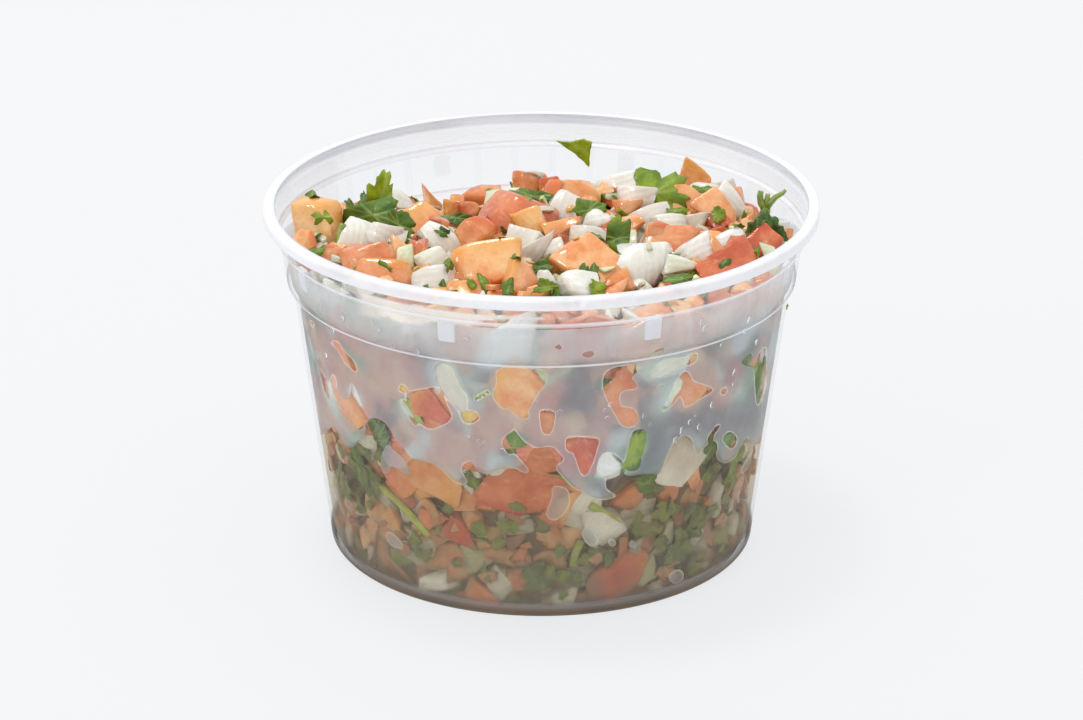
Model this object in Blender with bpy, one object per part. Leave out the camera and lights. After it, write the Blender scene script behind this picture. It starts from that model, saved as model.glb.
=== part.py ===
"""A round translucent deli tub filled with pico de gallo: diced tomato, onion and chopped cilantro.

Every length in this file is a number of millimetres times MM, so the model is in metres, +Z up.
The origin is the middle of the tub's foot, on the surface that it stands on.
The heap's larger pieces lie where they are seen from the front of the tub, so their places are
written as the column and row at which that view shows them.
"""
import bpy
import bmesh
import math
import numpy as np
from collections import namedtuple
from itertools import combinations
from mathutils import Matrix, Vector

MM = 0.001

# Tub: driving dimensions
RIM_RADIUS = 58.75
TUB_HEIGHT = 75.8
FOOT_RADIUS = 45.6
WALL = 0.8
DRAFT = 0.1233            # growth of the body's radius for each unit of height
BAND_BOTTOM = 59.4        # foot of the wider stacking band
BAND_STEP = 1.1
BAND_DRAFT = 0.13
SEAT_LEVEL = 69.0         # small ledge on which the lid's plug seats
SEAT_STEP = 0.7
RIM_DEPTH = 2.4           # height of the rolled rim's outer face
FOOT_RECESS = 1.0         # the floor panel is raised by this inside the foot ring
FOOT_RING_WIDTH = 2.4
FLOOR_THICKNESS = 0.9
TUB_SEGMENTS = 72
RIB_COUNT = 40
RIB_SIZE = (1.7, 1.0, 7.6)       # width, depth and height of a nesting rib
RIB_PROUD = 0.3
LUG_EVERY = 5                    # each fifth rib is a wide stacking lug
LUG_SIZE = (3.7, 1.6, 5.0)
LUG_PROUD = 0.75
FIRST_RIB_ANGLE = -90 + 1.9 - 22.5

# Heap: driving dimensions
CLEARANCE = 0.35          # space between the heap and the tub
CORE_DEPTH = 3.2          # how far the bare core stays behind the pieces' outer faces
CORE_SEGMENTS = 30
HEAP_FLOOR = 2.3
CORNER_TOP = 3.0          # below this the heap also keeps clear of the tub's rounded inner corner
CREST_HEIGHT = 70.6
CREST_AT = 12.0           # the crest lies this far behind the middle
FLAT_WITHIN = 1.0         # neighbouring facets that differ by less than these degrees become one

# The view from the front by which pieces are placed, in millimetres and picture elements
VIEW_BACK, VIEW_UP = 756.1, 349.4
VIEW_PITCH = 0.38944
VIEW_FOCUS = 3806.6
VIEW_MIDDLE = (541.7, 360.0)

Piece = namedtuple("Piece", "kind column row length width thick spin lean turn")
WallPiece = namedtuple("WallPiece", "kind column row length width thick spin")

# Pieces that show on top, front to back in each third of the heap. Sizes are in millimetres,
# spin turns a piece about its face, lean tips its face from up towards the front, turn swings it.
LEFT_TOP = [
    ("tomato", 317, 230, 10.8, 9.2, 6.0, 80, 70, -25),
    ("tomato", 303, 244, 6.0, 4.5, 4.0, 20, 50, -40),
    ("stem", 341, 240, 7.0, 1.6, 1.6, 84, 68, 0),
    ("onion", 356, 238, 9.0, 6.5, 3.2, 75, 60, 10),
    ("onion", 382, 238, 7.0, 5.5, 3.0, -25, 55, 0),
    ("onion", 398, 236, 6.0, 5.0, 3.0, 40, 60, 20),
    ("leaf", 378, 212, 13.0, 8.5, 0.7, -12, 62, -10),
    ("leaf", 381, 192, 10.0, 7.0, 0.7, 75, 78, 12),
    ("onion", 402, 202, 8.0, 5.5, 2.6, -40, 70, 30),
    ("leaf", 398, 226, 8.0, 5.0, 0.7, -55, 60, 15),
    ("tomato", 425, 227, 10.5, 8.6, 6.0, -48, 62, 8),
    ("onion", 444, 242, 10.0, 6.0, 2.4, -62, 55, 25),
    ("tomato", 371, 262, 11.5, 8.0, 7.0, 24, 55, -10),
    ("tomato", 384, 275, 13.0, 5.5, 5.0, -14, 45, 0),
    ("tomato", 418, 256, 6.5, 5.0, 5.0, 70, 58, 10),
    ("onion", 406, 261, 6.0, 3.6, 3.0, 82, 64, 0),
    ("onion", 433, 262, 6.5, 5.0, 3.0, 35, 55, 0),
    ("onion", 437, 281, 8.8, 5.4, 4.5, -3, 50, 5),
    ("leaf", 456, 218, 7.5, 4.0, 0.7, -5, 45, 0),
]
MIDDLE_TOP = [
    ("onion", 500, 197, 9.0, 5.5, 3.0, 22, 55, 0),
    ("tomato", 530, 186, 8.0, 6.5, 5.0, -10, 70, 5),
    ("tomato", 552, 190, 5.5, 4.5, 4.0, 0, 60, 0),
    ("leaf", 534, 199, 9.5, 5.0, 0.7, -8, 50, 0),
    ("tomato", 517, 223, 16.0, 11.0, 7.5, -28, 62, -8),
    ("tomato", 480, 230, 6.5, 4.5, 4.5, 70, 62, -15),
    ("tomato", 469, 239, 8.2, 6.0, 5.0, 62, 62, -10),
    ("onion", 565, 210, 8.8, 7.0, 3.0, 58, 64, 8),
    ("leaf", 589, 211, 6.0, 5.5, 0.7, 40, 60, 10),
    ("tomato", 577, 197, 11.0, 7.2, 6.0, -8, 52, 5),
    ("tomato", 530, 228, 7.0, 6.5, 5.0, 20, 62, 0),
    ("tomato", 563, 231, 8.4, 7.0, 5.0, 25, 55, 12),
    ("onion", 519, 247, 8.0, 5.6, 3.0, 70, 60, -8),
    ("onion", 537, 251, 10.0, 5.6, 2.8, 48, 58, 0),
    ("leaf", 542, 267, 7.0, 4.0, 1.4, 12, 45, 0),
    ("tomato", 484, 271, 15.0, 10.5, 8.0, 6, 55, -5),
    ("tomato", 522, 281, 8.6, 7.0, 6.0, 60, 52, 10),
    ("leaf", 547, 287, 6.0, 3.6, 0.7, 5, 55, 0),
    ("tomato", 588, 266, 15.5, 10.5, 8.0, -32, 55, 6),
    ("onion", 578, 286, 8.4, 5.6, 4.0, 0, 52, -10),
    ("onion", 591, 241, 8.5, 6.5, 3.2, -12, 58, 5),
    ("onion", 596, 221, 8.0, 4.4, 3.0, 10, 50, 0),
    ("leaf", 617, 240, 9.5, 6.0, 0.7, 12, 50, 0),
    ("tomato", 628, 208, 6.5, 5.6, 5.0, 20, 60, 0),
    ("tomato", 626, 226, 7.5, 4.6, 4.0, 22, 50, 0),
    ("onion", 617, 186, 11.0, 5.4, 1.8, 24, 66, -15),
    ("onion", 639, 269, 12.4, 9.6, 4.2, -10, 60, 4),
]
RIGHT_TOP = [
    ("leaf", 655, 192, 12.0, 8.0, 0.7, 10, 62, 8),
    ("onion", 640, 201, 8.4, 5.4, 2.8, 14, 60, 0),
    ("tomato", 695, 180, 7.5, 5.4, 5.0, -25, 68, 0),
    ("onion", 701, 193, 9.5, 4.8, 3.0, -6, 60, 0),
    ("tomato", 688, 202, 8.6, 6.4, 5.0, 10, 55, 0),
    ("tomato", 719, 214, 10.5, 6.0, 5.0, -45, 58, 10),
    ("onion", 733, 207, 9.6, 7.6, 2.6, -50, 66, 15),
    ("onion", 733, 189, 6.4, 4.6, 0.9, 30, 78, 0),
    ("leaf", 757, 236, 8.0, 5.5, 0.7, 60, 66, 10),
    ("leaf", 770, 234, 6.5, 4.5, 0.7, -60, 62, 20),
    ("stem", 763, 221, 9.0, 2.4, 2.4, 86, 70, 0),
    ("stem", 775, 199, 5.6, 1.6, 1.6, 38, 70, 0),
    ("stem", 764, 200, 4.6, 1.5, 1.5, 92, 70, 0),
    ("stem", 758, 203, 4.6, 1.5, 1.5, 118, 70, 0),
    ("tomato", 783, 239, 5.0, 4.0, 4.0, 30, 60, 30),
    ("tomato", 762, 248, 8.6, 5.6, 5.0, 22, 55, 20),
    ("tomato", 728, 265, 14.0, 7.6, 6.0, 18, 52, 12),
    ("onion", 730, 246, 8.4, 6.4, 4.0, 20, 55, 10),
    ("tomato", 707, 239, 8.2, 6.6, 5.5, 10, 55, 0),
    ("onion", 696, 254, 9.4, 6.6, 4.2, 24, 52, 6),
    ("tomato", 674, 241, 11.4, 6.4, 5.0, -10, 54, 0),
    ("onion", 670, 225, 6.6, 4.6, 4.0, 10, 55, 0),
    ("onion", 651, 219, 9.6, 5.0, 3.0, 30, 50, 0),
    ("onion", 699, 222, 5.4, 5.0, 3.0, 40, 58, 0),
    ("onion", 681, 267, 9.4, 4.8, 3.4, -4, 52, 5),
    ("leaf", 684, 279, 8.4, 4.4, 0.7, 6, 45, 0),
    ("tomato", 655, 240, 6.0, 5.4, 4.0, 60, 58, 0),
]
# Pieces that press on the front of the tub, with the column and row of each one's middle.
FRONT_WALL = [
    ("tomato", 344, 357, 8.2, 2.8, 4.5, -50),
    ("tomato", 343, 400, 13.0, 8.2, 6.0, -62),
    ("tomato", 314, 335, 7.0, 4.4, 4.5, -70),
    ("onion", 453, 387, 11.5, 4.2, 3.5, -58),
    ("tomato", 519, 395, 10.5, 8.6, 6.0, -35),
    ("onion", 503, 350, 13.0, 10.0, 5.0, 10),
    ("tomato", 621, 395, 12.4, 7.2, 6.0, 78),
    ("tomato", 694, 388, 8.4, 7.6, 5.5, -20),
    ("onion", 664, 368, 7.0, 4.6, 3.5, 18),
    ("onion", 670, 394, 8.0, 3.6, 3.5, 65),
    ("tomato", 582, 456, 8.8, 7.4, 5.5, -70),
    ("onion", 686, 460, 11.6, 10.2, 5.0, 55),
    ("onion", 611, 467, 6.6, 5.8, 4.0, -20),
    ("leaf", 754, 382, 10.6, 6.0, 0.7, -75),
    ("tomato", 430, 410, 10.0, 8.0, 6.0, -35),
    ("leaf", 356, 466, 12.6, 9.0, 0.7, -50),
    ("tomato", 439, 478, 12.4, 8.4, 6.0, -28),
    ("stem", 400, 512, 15.5, 2.0, 2.0, -31),
    ("tomato", 520, 489, 16.5, 9.4, 6.0, -14),
    ("tomato", 459, 535, 7.0, 5.4, 5.0, -40),
    ("onion", 433, 584, 12.6, 4.6, 3.5, 12),
    ("tomato", 483, 598, 8.4, 5.8, 4.5, -30),
    ("leaf", 542, 579, 8.8, 7.0, 0.7, 35),
    ("onion", 605, 528, 8.8, 8.0, 4.5, 25),
    ("stem", 607, 517, 9.0, 1.6, 1.6, -40),
    ("leaf", 680, 551, 10.6, 7.6, 0.7, 30),
    ("tomato", 621, 575, 16.5, 12.0, 6.0, 25),
    ("onion", 568, 597, 6.6, 5.8, 4.0, 60),
    ("tomato", 555, 431, 12.0, 9.0, 5.5, 20),
    ("tomato", 395, 345, 12.0, 10.0, 5.0, 30),
    ("onion", 745, 335, 9.0, 7.0, 4.0, 15),
    ("tomato", 590, 340, 9.0, 8.0, 5.0, 50),
]
# The sides and the back of the heap repeat the same kinds by a rule.
REST_ROWS = (9.0, 22.0, 35.0, 48.0, 59.0)
REST_COLUMNS = 9
REST_FROM, REST_TO = -22.0, 202.0      # degrees about the axis that the front pieces leave free
# Radius, number, and the angles between which they lie, of the pieces on top that the front view
# does not show: two rows behind the crest and one close behind the front of the rim
HIDDEN_TOP_ROWS = ((30.0, 4, 30, 150), (41.0, 7, 20, 160), (44.0, 9, 208, 332))
REST_KINDS = ("tomato", "onion", "tomato", "onion", "leaf")
REST_SEED = 7

# The one leaf that sticks to the inside of the tub, above the heap at the back
STUCK_LEAF_AT = (577, 152)
STUCK_LEAF_OUTLINE = ((-4.6, 2.6), (-1.6, 2.4), (1.4, 3.3), (3.6, 2.7), (3.1, 0.4), (2.9, -3.2), (-0.2, -0.4))
STUCK_LEAF_THICKNESS = 0.6


def body_radius(z):
    """Outer radius of the tub's tapering body."""
    return FOOT_RADIUS + DRAFT * z


def inner_radius(z):
    """Inner radius of the tub's body. The wider band above it keeps clear of this line."""
    return body_radius(z) - WALL


def clear_radius(z):
    """The radius that the heap may reach."""
    return inner_radius(z) - CLEARANCE - max(0.0, CORNER_TOP - z)


def new_object(name, bm, material):
    """Links a bmesh made in millimetres as one object in metres."""
    bmesh.ops.scale(bm, vec=(MM, MM, MM), verts=bm.verts)
    mesh = bpy.data.meshes.new(name)
    bm.to_mesh(mesh)
    bm.free()
    mesh.materials.append(material)
    made = bpy.data.objects.new(name, mesh)
    bpy.context.scene.collection.objects.link(made)
    return made


def plain_material(name, colour, roughness, alpha=1.0):
    made = bpy.data.materials.new(name)
    made.use_nodes = True
    shader = made.node_tree.nodes["Principled BSDF"]
    shader.inputs["Base Color"].default_value = (*colour, 1.0)
    shader.inputs["Roughness"].default_value = roughness
    shader.inputs["Metallic"].default_value = 0.0
    shader.inputs["Alpha"].default_value = alpha
    return made


# Tub
def tub_profile():
    """Radius and height of each ring: up the outside, over the rim and down the inside."""
    foot_inner = FOOT_RADIUS - FOOT_RING_WIDTH
    band_low = body_radius(BAND_BOTTOM) + BAND_STEP
    band_high = band_low + BAND_DRAFT * (SEAT_LEVEL - BAND_BOTTOM)
    neck = band_high + SEAT_STEP
    rim_low = TUB_HEIGHT - RIM_DEPTH
    floor_top = FOOT_RECESS + FLOOR_THICKNESS
    outside = [
        (0.0, FOOT_RECESS),
        (foot_inner - 0.8, FOOT_RECESS),
        (foot_inner, 0.0),
        (FOOT_RADIUS - 0.7, 0.0),
        (FOOT_RADIUS + 0.1, 0.8),
        (body_radius(BAND_BOTTOM - 0.3), BAND_BOTTOM - 0.3),
        (band_low - 0.3, BAND_BOTTOM),
        (band_low, BAND_BOTTOM + 0.3),
        (band_high, SEAT_LEVEL - 0.2),
        (neck, SEAT_LEVEL + 0.3),
        (neck + 0.3, rim_low - 0.3),
        (RIM_RADIUS - 0.4, rim_low),
    ]
    rim = [
        (RIM_RADIUS, rim_low + 0.4),
        (RIM_RADIUS, TUB_HEIGHT - 0.9),
        (RIM_RADIUS - 0.45, TUB_HEIGHT - 0.2),
        (RIM_RADIUS - 1.2, TUB_HEIGHT),
        (neck + 0.35, TUB_HEIGHT - 0.25),
        (neck - 0.25, TUB_HEIGHT - 1.0),
    ]
    inside = [
        (neck - WALL, SEAT_LEVEL + 0.8),
        (band_high - WALL, SEAT_LEVEL),
        (band_low - WALL, BAND_BOTTOM + 0.9),
        (inner_radius(BAND_BOTTOM), BAND_BOTTOM + 0.3),
        (inner_radius(floor_top + 0.9), floor_top + 0.9),
        (inner_radius(floor_top) - 0.8, floor_top),
        (0.0, floor_top),
    ]
    return outside + rim + inside


def lathe(profile, segments):
    """Turns a profile that starts and ends on the axis into one closed mesh."""
    bm = bmesh.new()
    rings = []
    for radius, z in profile:
        if radius == 0.0:
            rings.append([bm.verts.new((0.0, 0.0, z))])
            continue
        turn = [2 * math.pi * i / segments for i in range(segments)]
        rings.append([bm.verts.new((radius * math.cos(t), radius * math.sin(t), z)) for t in turn])
    for low, high in zip(rings, rings[1:]):
        for i in range(segments):
            j = (i + 1) % segments
            if len(low) == 1:
                bm.faces.new((low[0], high[j], high[i]))
            elif len(high) == 1:
                bm.faces.new((low[i], low[j], high[0]))
            else:
                bm.faces.new((low[i], low[j], high[j], high[i]))
    return bm


def wall_block(size, proud, angle, top):
    """A block let into the inner face of the band, standing proud of it towards the axis."""
    width, depth, height = size
    middle = top - height / 2
    band_inner = body_radius(BAND_BOTTOM) + BAND_STEP + BAND_DRAFT * (middle - BAND_BOTTOM) - WALL
    bm = bmesh.new()
    bmesh.ops.create_cube(bm, size=1.0)
    bmesh.ops.scale(bm, vec=(depth, width, height), verts=bm.verts)
    lean = Matrix.Rotation(math.atan(BAND_DRAFT), 4, "Y")
    swing = Matrix.Rotation(math.radians(angle), 4, "Z")
    place = swing @ Matrix.Translation((band_inner - proud + depth / 2, 0, middle)) @ lean
    bmesh.ops.transform(bm, matrix=place, verts=bm.verts)
    return bm


def make_tub():
    plastic = plain_material("tub_plastic", (0.86, 0.88, 0.90), 0.3, alpha=0.45)
    tub = new_object("tub", lathe(tub_profile(), TUB_SEGMENTS), plastic)
    blocks = bpy.data.collections.new("ribs_and_lugs")
    bpy.context.scene.collection.children.link(blocks)
    for i in range(RIB_COUNT):
        angle = FIRST_RIB_ANGLE + 360 / RIB_COUNT * i
        if i % LUG_EVERY == 0:
            bm = wall_block(LUG_SIZE, LUG_PROUD, angle, SEAT_LEVEL - 0.25)
        else:
            bm = wall_block(RIB_SIZE, RIB_PROUD, angle, SEAT_LEVEL - 0.35)
        block = new_object(f"rib_{i:02d}", bm, plastic)
        bpy.context.scene.collection.objects.unlink(block)
        blocks.objects.link(block)
    join(tub, blocks)
    tub.data.shade_smooth()
    tub.data.set_sharp_from_angle(angle=math.radians(35))
    return tub


def join(target, pieces):
    """Fuses a collection of closed pieces into the target and removes them."""
    union = target.modifiers.new("join", "BOOLEAN")
    union.operation = "UNION"
    union.operand_type = "COLLECTION"
    union.collection = pieces
    union.solver = "MANIFOLD"
    bpy.context.view_layer.update()
    fused = bpy.data.meshes.new_from_object(target.evaluated_get(bpy.context.evaluated_depsgraph_get()))
    target.modifiers.clear()
    target.data = fused
    for piece in list(pieces.objects):
        bpy.data.objects.remove(piece)
    bpy.data.collections.remove(pieces)


def keep_outer_shell(target):
    """Drops the shells that fusing leaves: hollows sealed between pieces, and loose scraps."""
    bm = bmesh.new()
    bm.from_mesh(target.data)
    waiting = set(bm.verts)
    shells = []
    while waiting:
        shell, edge_of_search = set(), [waiting.pop()]
        while edge_of_search:
            vert = edge_of_search.pop()
            shell.add(vert)
            for edge in vert.link_edges:
                other = edge.other_vert(vert)
                if other in waiting:
                    waiting.remove(other)
                    edge_of_search.append(other)
        shells.append(shell)
    shells.sort(key=len)
    for shell in shells[:-1]:
        bmesh.ops.delete(bm, geom=list(shell), context="VERTS")
    bmesh.ops.dissolve_limit(bm, angle_limit=math.radians(FLAT_WITHIN), verts=bm.verts, edges=bm.edges)
    bm.to_mesh(target.data)
    bm.free()


# The view from the front
def view_ray(column, row):
    """Where the eye is and the direction in which it sees this column and row."""
    ahead = Vector((0, math.cos(VIEW_PITCH), -math.sin(VIEW_PITCH)))
    above = Vector((0, math.sin(VIEW_PITCH), math.cos(VIEW_PITCH)))
    aside = Vector((1, 0, 0))
    across = (column - VIEW_MIDDLE[0]) / VIEW_FOCUS
    down = (row - VIEW_MIDDLE[1]) / VIEW_FOCUS
    return Vector((0, -VIEW_BACK, VIEW_UP)), (ahead + aside * across - above * down).normalized()


def first_point(column, row, gap):
    """The first point on the line of sight where the gap closes, or else where it is least."""
    eye, ahead = view_ray(column, row)
    near, step, steps = 640.0, 0.25, 1200
    least, nearest = None, None
    for i in range(steps):
        point = eye + ahead * (near + i * step)
        left = gap(point)
        if left <= 0:
            return point
        if least is None or left < least:
            least, nearest = left, point
    return nearest


# Heap
def heap_height(x, y):
    """Height of the heap's bare surface: a broad mound that falls away behind its crest."""
    behind = y - CREST_AT
    fall = 0.0085 * behind ** 2 if behind > 0 else 0.0009 * behind ** 2
    dip = 5.0 * math.exp(-((x + 20) / 12) ** 2 - ((y - 20) / 18) ** 2)
    return CREST_HEIGHT - fall - dip - 0.0009 * x ** 2


def on_heap(column, row):
    return first_point(column, row, lambda p: p.z - heap_height(p.x, p.y))


def on_wall(column, row):
    return first_point(column, row, lambda p: math.hypot(p.x, p.y) - clear_radius(p.z))


def corner_points(normals, reaches):
    """Corners of the convex block that the planes with these normals and distances enclose."""
    found = []
    for three in combinations(range(len(normals)), 3):
        chosen = normals[list(three)]
        if abs(np.linalg.det(chosen)) < 1e-3:
            continue
        point = np.linalg.solve(chosen, reaches[list(three)])
        if (normals @ point <= reaches + 1e-6).all():
            found.append(point)
    return found


def knife_cut_block(size, rng, spare_cuts):
    """A block as a knife leaves it: six leaning faces and a few corners sliced off."""
    half = np.array(size) / 2
    normals, reaches = [], []
    for axis in range(3):
        for side in (-1, 1):
            normal = np.zeros(3)
            normal[axis] = side
            normal += rng.uniform(-0.2, 0.2, 3)
            normals.append(normal / np.linalg.norm(normal))
            reaches.append(half[axis])
    for _ in range(spare_cuts):
        normal = rng.choice([-1.0, 1.0], 3) * rng.uniform(0.25, 1.0, 3)
        normal /= np.linalg.norm(normal)
        normals.append(normal)
        reaches.append(float(np.abs(normal) @ half) * rng.uniform(0.6, 0.8))
    bm = bmesh.new()
    for point in corner_points(np.array(normals), np.array(reaches)):
        bm.verts.new(point)
    bmesh.ops.remove_doubles(bm, verts=bm.verts, dist=0.02)
    bmesh.ops.convex_hull(bm, input=bm.verts)
    return bm


def tomato(size, rng):
    return knife_cut_block(size, rng, 2)


def onion(size, rng):
    """A slab of one onion layer, bent along its length."""
    bm = knife_cut_block(size, rng, 1)
    length = size[0]
    bmesh.ops.bisect_plane(bm, geom=bm.verts[:] + bm.edges[:] + bm.faces[:], plane_co=(0, 0, 0), plane_no=(1, 0, 0))
    bend_radius = 0.9 * length + 4
    for vert in bm.verts:
        vert.co.z += length ** 2 / (24 * bend_radius) - vert.co.x ** 2 / (2 * bend_radius)
    return bm


def leaf(size, rng):
    """A torn cilantro leaf: a thin wavy sheet with lobes, closed all round."""
    length, width, thick = size
    points = 9
    phase, lobes = rng.uniform(0, 6.28), rng.integers(3, 5)
    bm = bmesh.new()
    layers = []
    for side in (-0.5, 0.5):
        ring = []
        for i in range(points):
            angle = 2 * math.pi * i / points
            reach = 0.5 * (0.78 + 0.22 * math.cos(lobes * angle + phase))
            x, y = length * reach * math.cos(angle), width * reach * math.sin(angle)
            wave = 0.09 * length * math.sin(2 * angle + phase)
            ring.append(bm.verts.new((x, y, wave + side * thick)))
        middle = bm.verts.new((0, 0, 0.05 * length + side * thick))
        layers.append((ring, middle))
    (low, low_middle), (high, high_middle) = layers
    for i in range(points):
        j = (i + 1) % points
        bm.faces.new((low_middle, low[j], low[i]))
        bm.faces.new((high_middle, high[i], high[j]))
        bm.faces.new((low[i], low[j], high[j], high[i]))
    return bm


def stem(size, rng):
    """A short, slightly bowed length of cilantro stem."""
    length, width, _ = size
    sides, rings = 5, 3
    bow = rng.uniform(0.02, 0.06) * length
    bm = bmesh.new()
    hoops = []
    for i in range(rings):
        along = i / (rings - 1)
        centre = Vector((length * (along - 0.5), 0, bow * math.sin(math.pi * along)))
        turn = [2 * math.pi * k / sides for k in range(sides)]
        hoop = [centre + Vector((0, math.cos(t), math.sin(t))) * width / 2 for t in turn]
        hoops.append([bm.verts.new(p) for p in hoop])
    for low, high in zip(hoops, hoops[1:]):
        for k in range(sides):
            n = (k + 1) % sides
            bm.faces.new((low[k], high[k], high[n], low[n]))
    bm.faces.new(hoops[0])
    bm.faces.new(reversed(hoops[-1]))
    return bm


SHAPES = {"tomato": tomato, "onion": onion, "leaf": leaf, "stem": stem}


def facing(spin, lean, turn):
    """Turns a piece about its face, tips the face towards the front, then swings it."""
    return (
        Matrix.Rotation(math.radians(turn), 4, "Z")
        @ Matrix.Rotation(math.radians(lean), 4, "X")
        @ Matrix.Rotation(math.radians(spin), 4, "Z")
    )


def against_wall(angle, spin):
    """A piece whose face looks out through the tub's wall at this angle about the axis."""
    out = Matrix.Rotation(angle + math.pi / 2, 4, "Z") @ Matrix.Rotation(math.pi / 2, 4, "X")
    return out @ Matrix.Rotation(math.radians(spin), 4, "Z")


def top_places():
    """Kind, size, place and number of each piece on top of the heap."""
    places = []
    for number, row in enumerate(LEFT_TOP + MIDDLE_TOP + RIGHT_TOP):
        p = Piece(*row)
        middle = on_heap(p.column, p.row)
        middle.z -= 0.12 * p.thick
        turn = facing(p.spin, p.lean, p.turn)
        places.append((p.kind, (p.length, p.width, p.thick), Matrix.Translation(middle) @ turn, number))
    return places


def wall_places():
    """The same for the pieces that press on the front of the tub."""
    places = []
    for number, row in enumerate(FRONT_WALL):
        p = WallPiece(*row)
        touch = on_wall(p.column, p.row)
        angle = math.atan2(touch.y, touch.x)
        inward = Vector((-math.cos(angle), -math.sin(angle), 0)) * (0.42 * p.thick)
        turn = against_wall(angle, p.spin)
        places.append((p.kind, (p.length, p.width, p.thick), Matrix.Translation(touch + inward) @ turn, 200 + number))
    return places


def rest_places():
    """Pieces on the sides and the back, spread evenly and then moved a little at random."""
    rng = np.random.default_rng(REST_SEED)
    places = []
    number = 400
    for level, z in enumerate(REST_ROWS):
        for i in range(REST_COLUMNS):
            share = (i + 0.5 * (level % 2) + rng.uniform(0.0, 0.35)) / REST_COLUMNS
            angle = math.radians(REST_FROM + (REST_TO - REST_FROM) * share)
            height = z + rng.uniform(-1.5, 1.5)
            kind = REST_KINDS[number % len(REST_KINDS)]
            length, width = rng.uniform(10, 15), rng.uniform(7, 11)
            thick = {"tomato": 5.5, "onion": 3.6, "leaf": 0.7}[kind]
            spin = rng.uniform(-80, 80)
            number += 1
            reach = clear_radius(height) - 0.42 * thick
            middle = Vector((reach * math.cos(angle), reach * math.sin(angle), height))
            top = heap_height(middle.x, middle.y)
            if height > top - 1.0:
                continue
            turn = against_wall(angle, spin)
            places.append((kind, (length, width, thick), Matrix.Translation(middle) @ turn, number))
    for radius, count, start, end in HIDDEN_TOP_ROWS:
        for i in range(count):
            angle = math.radians(start + (end - start) * (i + rng.uniform(0.3, 0.7)) / count)
            x, y = radius * math.cos(angle), radius * math.sin(angle)
            kind = REST_KINDS[number % len(REST_KINDS)]
            thick = {"tomato": 5.5, "onion": 3.6, "leaf": 0.7}[kind]
            size = (rng.uniform(8, 12), rng.uniform(6, 8), thick)
            turn = facing(rng.uniform(-90, 90), rng.uniform(-30, 5), rng.uniform(-30, 30))
            number += 1
            middle = Vector((x, y, heap_height(x, y) - 0.3 * thick - 0.8))
            places.append((kind, size, Matrix.Translation(middle) @ turn, number))
    return places


def keep_inside(bm):
    """Pulls corners that would cross the tub back to the space inside it."""
    for vert in bm.verts:
        radius = math.hypot(vert.co.x, vert.co.y)
        vert.co.z = max(vert.co.z, HEAP_FLOOR)
        most = clear_radius(vert.co.z)
        if radius > most:
            vert.co.x *= most / radius
            vert.co.y *= most / radius


def heap_core():
    """The bare core: it fills the tub up to just behind the pieces."""
    bm = bmesh.new()
    rings = [[bm.verts.new((0, 0, HEAP_FLOOR))]]
    turn = [2 * math.pi * i / CORE_SEGMENTS for i in range(CORE_SEGMENTS)]

    def ring(radius_at, height_at):
        made = []
        for t in turn:
            z = height_at(t)
            radius = radius_at(z)
            made.append(bm.verts.new((radius * math.cos(t), radius * math.sin(t), z)))
        rings.append(made)

    ring(lambda z: clear_radius(z) - CORE_DEPTH, lambda t: HEAP_FLOOR)
    edge = clear_radius(62) - CORE_DEPTH

    def edge_height(t):
        return heap_height(edge * math.cos(t), edge * math.sin(t)) - CORE_DEPTH

    for share in (0.5, 1.0):
        ring(lambda z: clear_radius(z) - CORE_DEPTH, lambda t: 8 + (edge_height(t) - 8) * share)
    for radius in (0.8 * edge, 0.6 * edge, 0.4 * edge, 0.2 * edge):
        ring(
            lambda z: radius,
            lambda t: heap_height(radius * math.cos(t), radius * math.sin(t)) - 0.55 * CORE_DEPTH,
        )
    rings.append([bm.verts.new((0, 0, heap_height(0, 0) - 0.55 * CORE_DEPTH))])
    for low, high in zip(rings, rings[1:]):
        for i in range(CORE_SEGMENTS):
            j = (i + 1) % CORE_SEGMENTS
            if len(low) == 1:
                bm.faces.new((low[0], high[j], high[i]))
            elif len(high) == 1:
                bm.faces.new((low[i], low[j], high[0]))
            else:
                bm.faces.new((low[i], low[j], high[j], high[i]))
    return bm


def make_heap():
    food = plain_material("pico_food", (0.78, 0.36, 0.20), 0.35)
    heap = new_object("pico_heap", heap_core(), food)
    pieces = bpy.data.collections.new("heap_pieces")
    bpy.context.scene.collection.children.link(pieces)
    for kind, size, place, number in top_places() + wall_places() + rest_places():
        bm = SHAPES[kind](size, np.random.default_rng(number))
        bmesh.ops.transform(bm, matrix=place, verts=bm.verts)
        bmesh.ops.triangulate(bm, faces=bm.faces)
        keep_inside(bm)
        bmesh.ops.recalc_face_normals(bm, faces=bm.faces)
        piece = new_object(f"piece_{number:03d}", bm, food)
        bpy.context.scene.collection.objects.unlink(piece)
        pieces.objects.link(piece)
    join(heap, pieces)
    keep_outer_shell(heap)
    return heap


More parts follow.
